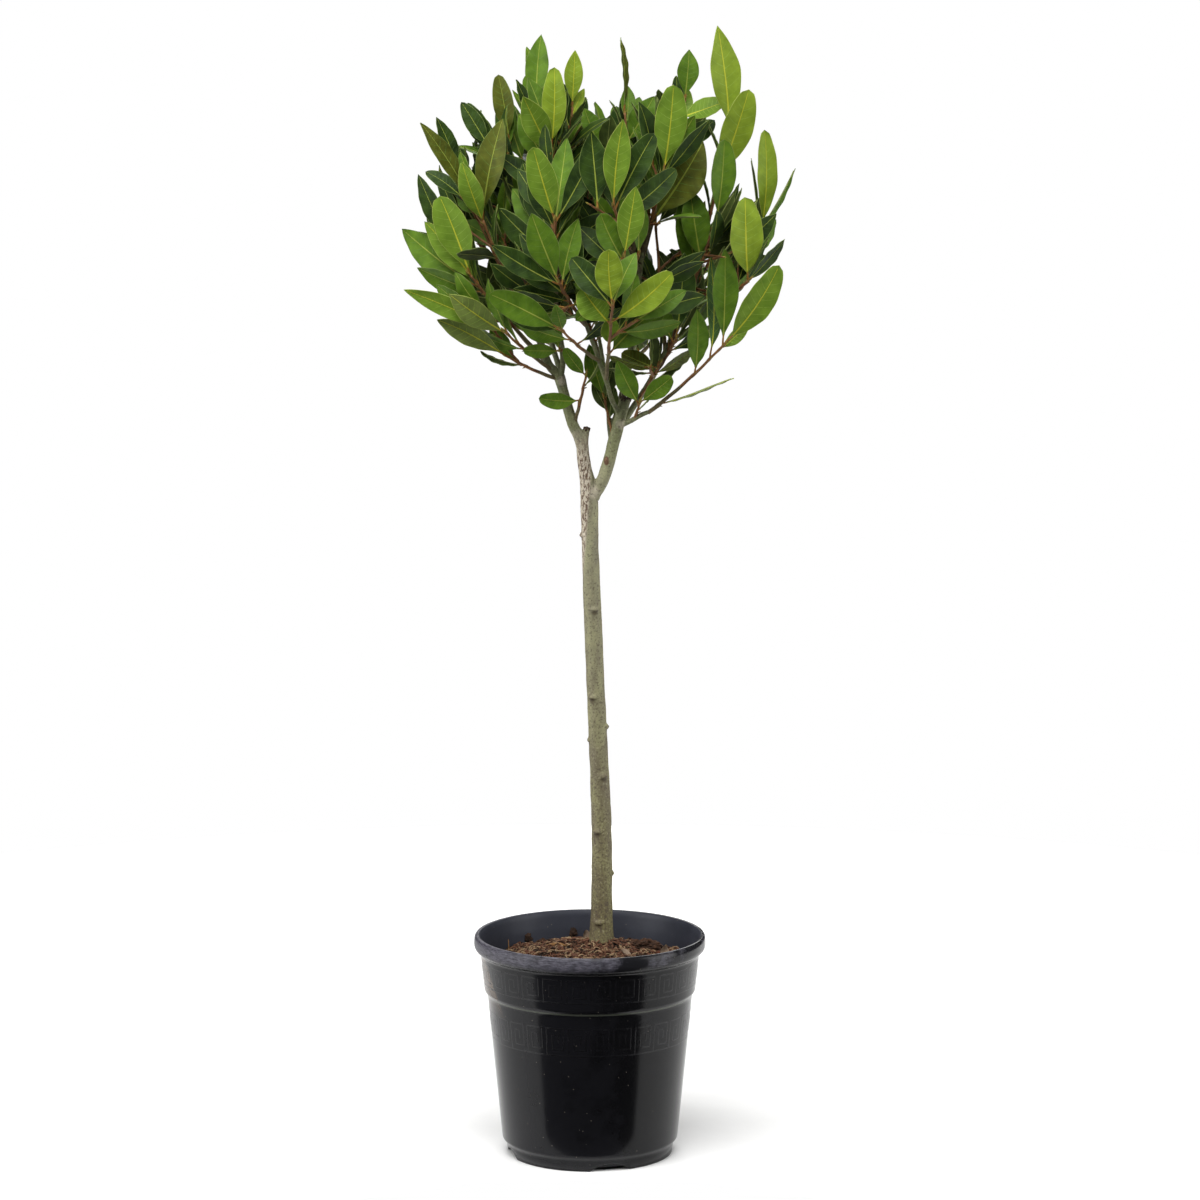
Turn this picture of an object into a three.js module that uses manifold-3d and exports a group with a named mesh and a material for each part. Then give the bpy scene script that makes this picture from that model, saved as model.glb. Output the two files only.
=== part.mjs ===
// A standard bay laurel (Laurus nobilis) in a 19 cm nursery pot: one bare stem, two pruned boughs and an
// open, leafy head. Millimetres, +Z up, origin at the centre of the pot's flat underside, front towards -Y.
import * as THREE from "three";
import { mergeVertices } from "three/addons/utils/BufferGeometryUtils.js";
import Module from "manifold-3d";

const wasm = await Module();
wasm.setup();

// ---------------------------------------------------------------- driving dimensions

const GAP = 0.35; // left between pieces that touch on the real plant

const POT = {
  height: 182.6,
  rimRadius: 95, // rolled lip
  rimDepth: 11.8,
  collarRadius: 89.6, // wide band under the lip
  collarFoot: 137, // height at which the collar steps in
  collarTaper: 3, // how much narrower the collar is at its foot
  stepSlope: 4, // height of the slope under the collar
  bodyRadius: 84, // just under the collar
  bodyFootRadius: 72.1,
  bodyFoot: 12.8, // height at which the wall rounds in to the foot
  footRadius: 67.7,
  footHeight: 9,
  footFlare: 1.4, // how much wider the foot is at its top
  lipFlare: 3.6, // height over which the collar swells into the lip
  lipRound: 1.4, // how far the lip's edges round in
  lipWall: 4,
  wall: 2.2,
  floor: 3,
};
const NOTCH = { count: 4, width: 34, height: 6, depth: 9, turn: -75.8, past: 3 }; // arches in the foot
const ROUND = 32; // facets round the pot

// Compost mounds up to the stem: [radius, height] from the pot's wall to the flat middle.
const SOIL = [[86, 160], [72, 161], [56, 165], [34, 170]];
const SOIL_TOP = SOIL.at(-1)[1];

// The head of leaves: its middle, and the half-axes that no seeded leaf tip passes.
const HEART = new THREE.Vector3(5, 0, 745);
const HEAD = { middle: new THREE.Vector3(4, 0, 764), reach: new THREE.Vector3(150, 142, 138) };

const TWIG = { foot: 2.4, tip: 1.7, sideLength: 30, sideFoot: 1.9, sideTip: 1.5, perSide: 70, sideLeaves: 4 };
const LEAF = { spacing: 7.5, petiole: 0.1, thickness: 0.012, leastHalf: 0.4, clear: 1.7, fromWood: 1.3 };
const BLADE = { low: 0.34, high: 0.7, ridge: 0.24, root: -0.01 }; // shares of the length where a blade bends
// Openings in the head, seen from the front: how far right, how high, and the radius.
const SKY = [
  [8, 887, 23], [45, 889, 21], [93, 811, 7.5], [90, 788, 7], [56, 752, 12], [-13, 669, 11],
  [-9, 642, 8], [120, 802, 6.5], [-58, 826, 6], [-84, 741, 5],
];
const GOLDEN = 137.5; // degrees between one leaf and the next round its twig
const SWINGS = [0, 8, -8, 16, -16]; // degrees a crowded leading leaf swings before it is left out
const TRIES = SWINGS.length;
const ROUNDS = 8; // most seeded leaves on one twig

// Limbs in the order they grow: points of the centre line with the radius there, and the number of sides.
const LIMBS = {
  trunk: [
    [9.5, 22, SOIL_TOP + GAP, 10.6],
    [9.6, 21, 196, 9.1],
    [9.6, 18, 267, 8.5],
    [6.4, 14, 347, 7.7],
    [3.2, 10, 426, 7.5],
    [0.4, 6, 498, 7],
    [-0.7, 4, 545, 7.4],
    [-3.8, 2, 566, 5.4],
    [-5.8, 0, 584, 5.2],
    [-2.4, -2, 599, 2.6], // the leader, cut off short at a node
  ],
  bough_left: [
    [-5.4, 0, 580, 4.6],
    [-8.6, -1, 592, 4.9],
    [-13.5, -3, 602, 4.6],
    [-19.1, -5, 621, 4.3],
    [-25, -6, 641, 4],
    [-33, -9, 651, 3.4],
    [-38.5, -12, 667, 3],
    [-46, -15, 690, 2.4],
  ],
  bough_right: [
    [-1, 4, 540, 4.4],
    [6.5, 2, 549, 5.2],
    [13.1, -1, 564, 5.1],
    [20.4, -4, 592, 5],
    [28.9, -6, 624, 4.7], // cut off square
  ],
  branch_left_inner: [
    [-24.2, -6, 636, 2.6],
    [-21.5, -10, 654, 2.8],
    [-24, -14, 676, 2.5],
    [-28, -20, 704, 2.2],
    [-30, -24, 732, 1.9],
  ],
  branch_left_back: [
    [-18, -4, 616, 2.4],
    [-21, 10, 634, 2.8],
    [-33, 30, 672, 2.4],
    [-42, 40, 706, 1.9],
  ],
  branch_front: [
    [24.6, -5, 608, 2.2],
    [17.9, -14, 623, 2.4],
    [13, -20, 640, 2.2],
    [6, -26, 660, 2],
    [-4, -32, 688, 1.7],
  ],
  branch_right_low: [
    [24.5, -5, 601, 2.2],
    [33, -12, 606, 2.4],
    [41, -16, 611, 2.2],
    [48, -18, 614, 2],
  ],
  branch_right_inner: [
    [26.5, -4, 613, 2.4],
    [27, 6, 632, 2.7],
    [33, 2, 664, 2.5],
    [38, -6, 702, 2.2],
    [42, -14, 742, 1.8],
  ],
  branch_right_outer: [
    [22.4, -4, 597, 2.4],
    [33, 5, 612, 2.9],
    [51, 10, 640, 2.7],
    [68, 6, 676, 2.3],
    [82, 0, 712, 1.8],
  ],
  branch_right_back: [
    [19.5, -3, 588, 2.4],
    [21, 12, 606, 2.8],
    [33, 36, 648, 2.4],
    [42, 50, 690, 1.9],
  ],
  branch_back: [
    [18.5, -1, 580, 2.3],
    [15.6, 9, 599, 2],
    [12.4, 30, 640, 2],
    [3, 52, 690, 1.8],
  ],
};
const LIMB_SIDES = { trunk: 10, bough_left: 7, bough_right: 8 };
const BRANCH_SIDES = 5;

// Shoots: the limb each springs from and how far along it, where its stem ends, its number of seeded leaves
// and their length, then the leaves it is known by, each as [share of the stem, lean to the right and
// towards the front in degrees, length, width, turn about its midrib].
const SHOOTS = {
  left_top: ["branch_left_inner", 0.98, [-30, -38, 826], 5, 62,
    [[1, 2, 12, 64, 20], [0.93, -25, 26, 60, 22]]],
  left_peak: ["branch_left_inner", 0.86, [-42, -6, 853], 4, 50,
    [[0.98, 3, 0, 64, 19], [1, -10, -8, 56, 16, 55], [0.92, -27, 10, 44, 14, 40]]],
  left_peak_inner: ["branch_left_inner", 0.74, [-14, 0, 856], 4, 48,
    [[1, 3, 10, 46, 15], [0.95, 24, -10, 26, 9]]],
  left_front: ["branch_left_inner", 0.66, [-27, -76, 770], 5, 60,
    [[1, -16, 18, 64, 23], [0.98, 28, 6, 74, 19], [0.95, 8, -8, 70, 20]]],
  left_low_front: ["branch_front", 0.97, [-24, -76, 722], 5, 58,
    [[1, -21, 16, 62, 24], [0.94, -59, 15, 64, 18], [0.86, -38, -6, 56, 17], [0.9, 14, 0, 56, 18]]],
  left_belly: ["branch_front", 0.7, [-22, -70, 684], 4, 52, [[1, -62, 13, 66, 23], [0.97, -14, 24, 30, 12]]],
  left_shoulder: ["bough_left", 0.87, [-85, -34, 768], 5, 62,
    [[1, 12, 10, 84, 25], [0.97, -19, 18, 56, 19]]],
  left_crest: ["bough_left", 1, [-64, -4, 829], 4, 46,
    [[1, -9, 5, 54, 17], [0.96, -12, 0, 36, 15], [0.84, -16, 8, 36, 13]]],
  left_fringe: ["bough_left", 0.81, [-104, -6, 802], 5, 46,
    [[0.84, -32, 8, 80, 17, 50], [1, -22, 0, 50, 14, 45], [0.95, -6, -20, 34, 13]]],
  left_side: ["bough_left", 0.755, [-95, -30, 724], 4, 58,
    [[1, -20, 14, 70, 29], [0.9, -40, 6, 66, 21], [0.86, -53, -4, 80, 26]]],
  left_edge: ["bough_left", 0.7, [-112, 14, 744], 5, 54, [[1, -24, 5, 64, 17], [0.9, -58, 0, 44, 16]]],
  low_left: ["bough_left", 0.55, [-66, -24, 659], 3, 44, [[1, -60, 14, 66, 18], [0.8, -38, 0, 36, 15]]],
  low_left_upper: ["bough_left", 0.63, [-67, -42, 680], 4, 52,
    [[0.95, -54, 20, 60, 21], [1, -66, 6, 88, 17]]],
  centre_top: ["branch_right_inner", 0.9, [19, -84, 781], 5, 61,
    [[1, 6, 14, 72, 21], [0.965, 27, 8, 68, 21], [0.85, 50, -4, 60, 19], [0.925, -14, -10, 54, 18]]],
  centre_peak: ["branch_right_inner", 0.84, [8, 2, 824], 5, 46, [[1, -22, 6, 34, 16], [0.95, 18, 0, 30, 16]]],
  right_crown: ["branch_right_inner", 1, [58, -52, 806], 5, 62,
    [[1, 6, 12, 72, 26], [0.95, 39, 10, 60, 16, 40], [0.42, 33, 6, 76, 34]]],
  right_peak: ["branch_right_inner", 0.95, [76, 6, 862], 4, 46,
    [[1, 5, 4, 40, 18], [0.9, 70, 10, 38, 18], [0.85, 6, -6, 36, 18]]],
  needle: ["branch_right_inner", 0.78, [28, 16, 851], 4, 44,
    [[1, -3, 0, 60, 14, 64], [0.85, 30, 10, 44, 20]]],
  right_top: ["branch_right_outer", 1, [111, -12, 836], 4, 54,
    [[1, -7, 6, 86, 27], [0.72, 18, 16, 79, 26], [0.5, -14, 26, 42, 13, 50]]],
  right_fringe: ["branch_right_outer", 0.93, [137, 2, 757], 4, 54,
    [[1, 1, 6, 82, 18], [0.96, -6, -12, 62, 14, 60], [0.9, 30, 4, 66, 17, 60]]],
  right_upper: ["branch_right_outer", 0.82, [100, -42, 768], 5, 54,
    [[1, 5, 10, 66, 21], [0.6, -9, 6, 62, 25], [0.42, -8, 4, 66, 25]]],
  right_side: ["branch_right_outer", 0.7, [126, -34, 720], 4, 56,
    [[1, -2, 12, 68, 29], [0.98, 40, 6, 46, 14, 30]]],
  right_belly: ["branch_right_outer", 0.5, [69, -34, 674], 4, 54,
    [[1, 5, 8, 70, 23], [0.9, -24, 14, 50, 20]]],
  low_inner_right: ["branch_right_outer", 0.34, [56, -16, 652], 4, 46,
    [[0.9, -66, 8, 32, 15]]],
  low_right: ["branch_right_low", 1, [108, -30, 670], 3, 46,
    [[1, 33.5, 16, 79, 25], [0.97, 1, 6, 78, 22], [0.8, -1, 10, 82, 19, 20], [0.6, 1, 14, 58, 18],
      [0.12, 68, 4, 64, 15, 66], [0.92, 48, -20, 34, 11]]],
  centre_front: ["branch_front", 0.5, [18, -94, 706], 3, 46,
    [[1, -4, 16, 46, 22], [0.8, 50, 14, 64, 22], [0.77, -38, 12, 38, 25], [0.38, 46, 14, 62, 26],
      [0.5, 4, 30, 25, 15], [0.97, -40, -6, 50, 20]]],
  centre_middle: ["branch_right_inner", 0.52, [27, -78, 741], 3, 46,
    [[1, 9, 8, 60, 21], [0.96, -26, 2, 46, 20], [0.9, -48, -8, 50, 19]]],
  low_centre: ["bough_left", 0.27, [-3, -20, 643], 2, 28,
    [[0.55, -86, 10, 34, 14], [1, -36, 16, 32, 12]]],
  spur_left: ["branch_left_inner", 0.36, [-24, -30, 664], 2, 28,
    [[0.9, -88, 14, 30, 12], [1, -15, 10, 30, 10]]],
  spur_right: ["branch_right_low", 0.45, [40, -26, 622], 2, 30,
    [[0.9, -26, 22, 44, 17], [1, 50, 10, 34, 16]]],
  spur_centre: ["bough_right", 0.72, [12, 4, 622], 3, 40, [[1, -16, 0, 46, 16]]],
  back_left_high: ["branch_left_back", 1, [-58, 56, 808], 8, 62, []],
  back_left: ["branch_left_back", 0.8, [-96, 50, 752], 8, 62, []],
  back_left_low: ["branch_left_back", 0.6, [-76, 58, 688], 7, 58, []],
  back_left_mid: ["branch_left_back", 0.72, [-52, 92, 738], 8, 62, []],
  back_high: ["branch_back", 1, [-10, 66, 826], 8, 60, []],
  back_middle: ["branch_back", 0.86, [-8, 106, 772], 8, 64, []],
  back_low: ["branch_back", 0.7, [-7, 91, 696], 7, 60, []],
  back_right_high: ["branch_right_back", 1, [50, 58, 822], 8, 58, []],
  back_right_mid: ["branch_right_back", 0.9, [48, 98, 752], 8, 64, []],
  back_right_low: ["branch_right_back", 0.66, [68, 72, 684], 7, 58, []],
  back_right: ["branch_right_outer", 0.52, [102, 52, 742], 8, 62, []],
  heart_left: ["branch_left_back", 0.9, [-52, 8, 772], 7, 58, []],
  heart: ["branch_right_inner", 0.7, [12, -8, 760], 7, 58, []],
  heart_right: ["branch_right_outer", 0.64, [52, 14, 780], 7, 58, []],
};

const COLOURS = { pot: 0x1c1c1f, compost: 0x3b2a20, bark: 0x7c7a5c, leaf: 0x4b7a2c };

// ---------------------------------------------------------------- seeded numbers and small sums

function seeded(seed) {
  let state = seed;
  return () => {
    state = (state + 0x6d2b79f5) >>> 0;
    let t = Math.imul(state ^ (state >>> 15), state | 1);
    t ^= t + Math.imul(t ^ (t >>> 7), t | 61);
    return ((t ^ (t >>> 14)) >>> 0) / 4294967296;
  };
}

const vec = (x, y, z) => new THREE.Vector3(x, y, z);
const rad = THREE.MathUtils.degToRad;
const spread = (random, size) => (random() * 2 - 1) * size;

function segmentDistance(p, a, b) {
  const ab = b.clone().sub(a);
  const t = THREE.MathUtils.clamp(p.clone().sub(a).dot(ab) / ab.lengthSq(), 0, 1);
  return p.distanceTo(a.clone().addScaledVector(ab, t));
}

// ---------------------------------------------------------------- closed meshes

function geometryOf(points, faces) {
  const geometry = new THREE.BufferGeometry().setFromPoints(points);
  geometry.setIndex(faces.flat());
  return geometry;
}

function solidOf(geometry) {
  const bare = geometry.clone();
  bare.deleteAttribute("normal");
  bare.deleteAttribute("uv");
  const merged = mergeVertices(bare, 1e-4);
  return new wasm.Manifold(
    new wasm.Mesh({
      numProp: 3,
      vertProperties: new Float32Array(merged.attributes.position.array),
      triVerts: new Uint32Array(merged.index.array),
    }),
  );
}

function geometryOfSolid(solid) {
  const mesh = solid.getMesh();
  const geometry = new THREE.BufferGeometry();
  geometry.setAttribute("position", new THREE.BufferAttribute(new Float32Array(mesh.vertProperties), 3));
  geometry.setIndex(new THREE.BufferAttribute(new Uint32Array(mesh.triVerts), 1));
  return geometry;
}

// The largest body of a solid, without the scraps that a cut leaves.
function wholeBody(solid) {
  return solid.decompose().sort((a, b) => b.volume() - a.volume())[0];
}

// A closed tube through rings of points, with flat ends.
function loft(rings) {
  const sides = rings[0].length;
  const faces = [];
  for (let r = 0; r + 1 < rings.length; r++) {
    for (let i = 0; i < sides; i++) {
      const [a, b] = [r * sides + i, r * sides + ((i + 1) % sides)];
      faces.push([a, b, b + sides], [a, b + sides, a + sides]);
    }
  }
  const last = (rings.length - 1) * sides;
  for (let i = 1; i + 1 < sides; i++) {
    faces.push([0, i + 1, i], [last, last + i, last + i + 1]);
  }
  return geometryOf(rings.flat(), faces);
}

function ring(centre, along, radius, sides) {
  const right = along.clone().cross(vec(0, 1, 0)).normalize();
  const ahead = along.clone().cross(right).normalize();
  return Array.from({ length: sides }, (_, i) => {
    const turn = (-2 * Math.PI * i) / sides;
    return centre.clone().addScaledVector(right, radius * Math.cos(turn))
      .addScaledVector(ahead, -radius * Math.sin(turn));
  });
}

// ---------------------------------------------------------------- limbs

// The centre line of a limb: a place and a radius at any share of its length in points.
function limbLine(rows) {
  const curve = new THREE.CatmullRomCurve3(rows.map(([x, y, z]) => vec(x, y, z)), false, "catmullrom");
  const radius = (share) => {
    const at = share * (rows.length - 1);
    const i = Math.min(Math.floor(at), rows.length - 2);
    return THREE.MathUtils.lerp(rows[i][3], rows[i + 1][3], at - i);
  };
  return { place: (share) => curve.getPoint(share), along: (share) => curve.getTangent(share), radius };
}

function limbSolid(rows, sides, fatter = 0) {
  const line = limbLine(rows);
  const steps = rows.length - 1;
  const rings = [];
  for (let i = 0; i <= steps; i++) {
    const share = i / steps;
    const along = i === 0 && rows === LIMBS.trunk ? vec(0, 0, 1) : line.along(share);
    rings.push(ring(line.place(share), along, line.radius(share) + fatter, sides));
  }
  return solidOf(loft(rings));
}

// ---------------------------------------------------------------- twigs and leaves

// A twig bends once, from where it leaves the bark to where it points up and out.
function twigLine(from, to, lift) {
  const middle = from.clone().lerp(to, 0.5);
  middle.z -= lift * from.distanceTo(to);
  const curve = new THREE.QuadraticBezierCurve3(from, middle, to);
  return { place: (share) => curve.getPoint(share), along: (share) => curve.getTangent(share),
    length: from.distanceTo(to) };
}

function twigCapsules(twig, owner) {
  const spots = [0, 0.25, 0.5, 0.75, 1].map(twig.place);
  return spots.slice(1).map((b, i) => ({ a: spots[i], b, r: twig.foot, owner }));
}

function twigSolid(twig) {
  const rings = twig.rings.map((share) => {
    const radius = THREE.MathUtils.lerp(twig.foot, twig.tip, share);
    return ring(twig.place(share), twig.along(share), radius, 3);
  });
  return solidOf(loft(rings));
}

// Shares of a leaf's length at which its edges and its midrib are tested against what has grown.
const EDGE_SHARES = [0.2, 0.36, 0.52, 0.68, 0.84, 1];
const RIB_SHARES = [0.12, 0.26, 0.4, 0.6, 0.8];

// Half the width of a blade, as a share of its full width, at a share of the leaf's length.
function bladeHalf(share) {
  const t = (share - LEAF.petiole) / (1 - LEAF.petiole);
  return t <= 0 || t >= 1 ? 0 : 0.5 * Math.sin(Math.PI * t ** 0.92) ** 0.85;
}

// A leaf: a root, a direction, the way its upper side faces, and how far its middle bows out.
function makeLeaf(root, direction, face, turn, length, width, bow) {
  const u = direction.clone().normalize();
  const n = face.clone().addScaledVector(u, -face.dot(u)).normalize().applyAxisAngle(u, turn);
  const v = n.clone().cross(u);
  const leaf = { root, u, v, n, length, width, bow: bow * length };
  leaf.middle = root.clone().addScaledVector(u, length / 2);
  leaf.edges = [-1, 1].map((side) =>
    EDGE_SHARES.map((s) => onLeaf(leaf, s, side * bladeHalf(s) * width, 0)));
  leaf.midrib = RIB_SHARES.map((s) => onLeaf(leaf, s, 0, 0));
  return leaf;
}

function onLeaf(leaf, share, across, above) {
  return leaf.root.clone().addScaledVector(leaf.u, share * leaf.length).addScaledVector(leaf.v, across)
    .addScaledVector(leaf.n, above + 4 * leaf.bow * share * (1 - share));
}

function inLeaf(leaf, p) {
  const d = p.clone().sub(leaf.root);
  const share = d.dot(leaf.u) / leaf.length;
  return { share, across: d.dot(leaf.v), above: d.dot(leaf.n) - 4 * leaf.bow * share * (1 - share) };
}

function overBlade(leaf, spot) {
  const half = bladeHalf(Math.min(spot.share, 0.97)) * leaf.width;
  return spot.share > 0.1 && spot.share < 1.02 && Math.abs(spot.across) < half + 1;
}

// Whether the straight line between two spots, in a leaf's own frame, cuts its blade.
function passesThrough(leaf, before, spot) {
  if (spot.above * before.above > 0) return false;
  const f = before.above / (before.above - spot.above);
  return overBlade(leaf, {
    share: THREE.MathUtils.lerp(before.share, spot.share, f),
    across: THREE.MathUtils.lerp(before.across, spot.across, f),
  });
}

// Whether an edge of one leaf passes through, or very near, the blade of another.
function edgeMeets(leaf, other) {
  return leaf.edges.some((edge) => {
    const spots = edge.map((p) => inLeaf(other, p));
    return spots.some((spot, i) => {
      if (Math.abs(spot.above) < LEAF.clear && overBlade(other, spot)) return true;
      return i > 0 && passesThrough(other, spots[i - 1], spot);
    });
  });
}

function leavesMeet(a, b) {
  if (a.middle.distanceTo(b.middle) > (a.length + b.length) / 2 + 4) return false;
  return edgeMeets(a, b) || edgeMeets(b, a);
}

// Wood that a leaf must keep clear of: its own twig only matters past the lowest third of the leaf.
function touchesWood(leaf, wood, owner) {
  const far = leaf.edges.flat().concat(leaf.midrib);
  const near = leaf.length / 2 + 12;
  return wood.some((w) => {
    if (segmentDistance(leaf.middle, w.a, w.b) > near) return false;
    if (w.owner !== owner && passesThrough(leaf, inLeaf(leaf, w.a), inLeaf(leaf, w.b))) return true;
    return far.some((p) => {
      if (w.owner === owner && p.distanceTo(leaf.root) < leaf.length * 0.45) return false;
      return segmentDistance(p, w.a, w.b) < w.r + LEAF.fromWood;
    });
  });
}

function insideHead(p) {
  return p.clone().sub(HEAD.middle).divide(HEAD.reach).lengthSq() <= 1;
}

function inSky(points) {
  return points.some((p) => SKY.some(([x, z, r]) => Math.hypot(p.x - x, p.z - z) < r));
}

// ---------------------------------------------------------------- growing the head

function facing(place, front) {
  const out = place.clone().sub(HEART).normalize();
  return out.multiplyScalar(front ? 0.45 : 0.9).add(vec(0, front ? -0.9 : 0, front ? 0.25 : 0.4));
}

// A leaf that a shoot is known by leans a given way; crowded, it swings forward or back a little.
function leadingLeaf(twig, row, attempt) {
  const [share, lean, forward, length, width, turn = 0] = row;
  const [side, front] = [rad(lean), rad(forward + SWINGS[attempt])];
  const direction = vec(Math.sin(side) * Math.cos(front), -Math.sin(front), Math.cos(side) * Math.cos(front));
  const root = twig.place(share);
  return makeLeaf(root, direction, facing(root, true), rad(turn), length, width, 0.035);
}

// A leaf placed by the rule; on a shoot with leading leaves it grows behind them.
function seededLeaf(twig, k, start, size, behind, random) {
  const share = Math.max(1 - ((k + 0.35) * LEAF.spacing) / twig.length, 0.22);
  const along = twig.along(share);
  const turn = rad(start + k * GOLDEN + spread(random, 25));
  const open = rad(Math.min(30 + 7 * k, 62) + spread(random, 12));
  const side = along.clone().cross(vec(0, 1, 0)).normalize().applyAxisAngle(along, turn);
  if (behind) side.y = Math.abs(side.y);
  const root = twig.place(share);
  const out = root.clone().sub(HEART).normalize();
  const direction = along.clone().multiplyScalar(Math.cos(open)).addScaledVector(side, Math.sin(open))
    .addScaledVector(out, 0.25).add(vec(0, 0, 0.5));
  if (behind) direction.y = Math.max(direction.y, 0);
  const length = size * (0.74 + 0.34 * random());
  const width = length * (0.32 + 0.08 * random());
  return makeLeaf(root, direction, facing(root, false), spread(random, 0.6), length, width,
    0.02 + 0.04 * random());
}

// The stem of a shoot and the side twigs that it carries.
function growTwigs(shoot, random) {
  const from = shoot.limb.place(shoot.share);
  const stem = { ...twigLine(from, shoot.tip, 0.06), foot: TWIG.foot, tip: TWIG.tip,
    rings: [0, 0.5, 1] };
  const twigs = [stem];
  const count = Math.round(stem.length / TWIG.perSide);
  for (let i = 0; i < count; i++) {
    const share = 0.5 + (0.34 * (i + random())) / count;
    const along = stem.along(share);
    const turn = rad(shoot.start + 70 + i * GOLDEN + spread(random, 30));
    const side = along.clone().cross(vec(0, 1, 0)).normalize().applyAxisAngle(along, turn);
    const root = stem.place(share);
    const out = root.clone().sub(HEART).normalize();
    const reach = TWIG.sideLength * (0.75 + 0.5 * random());
    const way = along.clone().multiplyScalar(0.8).addScaledVector(side, 0.7).addScaledVector(out, 0.3)
      .normalize();
    const branch = twigLine(root, root.clone().addScaledVector(way, reach), 0);
    twigs.push({ ...branch, foot: TWIG.sideFoot, tip: TWIG.sideTip, rings: [0, 1] });
  }
  return twigs;
}

function woodMeets(twig, wood, owner) {
  return [0.2, 0.4, 0.6, 0.8, 1].some((share) => wood.some((w) =>
    w.owner !== owner && segmentDistance(twig.place(share), w.a, w.b) < w.r + twig.foot + 1.5));
}

function limbCapsules(name, rows) {
  return rows.slice(1).map((row, i) => ({ a: vec(...rows[i]), b: vec(...row), r: Math.max(rows[i][3], row[3]),
    owner: name }));
}

// Grows every shoot: first the wood, then the leaves each is known by, then seeded leaves, one each in turn.
function growHead() {
  const lines = Object.fromEntries(Object.entries(LIMBS).map(([name, rows]) => [name, limbLine(rows)]));
  const wood = Object.entries(LIMBS).flatMap(([name, rows]) => limbCapsules(name, rows));
  const shoots = Object.entries(SHOOTS).map(([name, [limb, share, tip, count, size, leading]], i) => ({
    name, limb: lines[limb], limbName: limb, share, tip: vec(...tip), count, size, leading,
    start: i * 77, random: seeded(101 + i * 13), leaves: [],
  }));
  for (const shoot of shoots) {
    const [stem, ...sides] = growTwigs(shoot, shoot.random);
    shoot.twigs = [stem];
    wood.push(...twigCapsules(stem, shoot.name));
    shoot.sides = sides;
  }
  for (const shoot of shoots) {
    const free = (t) => !woodMeets(t, wood, shoot.name) && insideHead(t.place(1))
      && !inSky([t.place(0.5), t.place(1)]);
    for (const twig of shoot.sides.filter(free)) {
      shoot.twigs.push(twig);
      wood.push(...twigCapsules(twig, shoot.name));
    }
  }
  const grown = [];
  const fits = (leaf, shoot) => !touchesWood(leaf, wood, shoot.name) && !grown.some((other) =>
    leavesMeet(leaf, other));
  const keep = (shoot, leaf) => {
    shoot.leaves.push(leaf);
    grown.push(leaf);
  };
  for (const shoot of shoots) {
    for (const row of shoot.leading) {
      for (let attempt = 0; attempt < TRIES; attempt++) {
        const leaf = leadingLeaf(shoot.twigs[0], row, attempt);
        if (!fits(leaf, shoot)) continue;
        keep(shoot, leaf);
        break;
      }
    }
  }
  for (let k = 0; k < ROUNDS; k++) {
    for (const shoot of shoots) {
      shoot.twigs.forEach((twig, j) => {
        if (k >= (j === 0 ? shoot.count : TWIG.sideLeaves)) return;
        for (let attempt = 0; attempt < TRIES; attempt++) {
          const start = shoot.start + 50 * j + 25 * attempt;
          const leaf = seededLeaf(twig, k, start, shoot.size, shoot.leading.length > 0, shoot.random);
          const tip = leaf.edges[0].at(-1);
          if (!insideHead(tip) || inSky(leaf.edges.flat()) || !fits(leaf, shoot)) continue;
          keep(shoot, leaf);
          break;
        }
      });
    }
  }
  return shoots;
}

// A leaf as a thin closed blade: pointed tip, two widths, one ridge above and below, and a three-sided root.
function leafSolid(leaf) {
  const half = Math.max(0.5 * LEAF.thickness * leaf.length, LEAF.leastHalf);
  const { low, high, ridge, root } = BLADE;
  const edge = (share, side) => onLeaf(leaf, share, side * bladeHalf(share) * leaf.width, 0);
  const outline = [
    edge(root, 0), edge(low, 1), edge(high, 1), edge(1, 0), edge(high, -1), edge(low, -1),
  ];
  const points = [...outline, onLeaf(leaf, ridge, 0, half), onLeaf(leaf, ridge, 0, -half)];
  const faces = outline.flatMap((_, i) => {
    const next = (i + 1) % outline.length;
    return [[6, next, i], [7, i, next]];
  });
  return solidOf(geometryOf(points, faces));
}

function shootSolid(shoot, fatLimbs) {
  let solid = shoot.twigs.slice(1).reduce((sum, twig) => sum.add(twigSolid(twig)), twigSolid(shoot.twigs[0]));
  solid = shoot.leaves.reduce((sum, leaf) => sum.add(leafSolid(leaf)), solid);
  return wholeBody(solid.subtract(fatLimbs[shoot.limbName]));
}

// ---------------------------------------------------------------- pot and compost

function latheSolid(profile) {
  const points = profile.map(([r, z]) => new THREE.Vector2(r, z));
  return solidOf(new THREE.LatheGeometry(points, ROUND).rotateX(Math.PI / 2));
}

// The wall as [radius, height], from the foot's top edge up to where the collar begins to swell.
function wallLine() {
  const p = POT;
  return [
    [p.bodyFootRadius, p.bodyFoot], [p.bodyRadius, p.collarFoot - p.stepSlope],
    [p.collarRadius - p.collarTaper, p.collarFoot], [p.collarRadius, p.height - p.rimDepth - p.lipFlare],
  ];
}

function potSolid() {
  const p = POT;
  const lip = p.height - p.rimDepth;
  const outside = [
    [0, 0], [p.footRadius, 0], [p.footRadius + p.footFlare, p.footHeight], ...wallLine(),
    [p.rimRadius - p.lipRound, lip], [p.rimRadius, lip + 2 * p.lipRound],
    [p.rimRadius, p.height - p.lipRound], [p.rimRadius - p.lipRound, p.height],
  ];
  const inside = [
    [p.rimRadius - p.lipWall, p.height], ...wallLine().reverse().map(([r, z]) => [r - p.wall, z]),
    [p.footRadius - p.wall, p.floor], [0, p.floor],
  ];
  let pot = latheSolid([...outside, ...inside]);
  for (let i = 0; i < NOTCH.count; i++) {
    pot = pot.subtract(notchSolid(rad(NOTCH.turn + (i * 360) / NOTCH.count)));
  }
  return pot;
}

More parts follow.
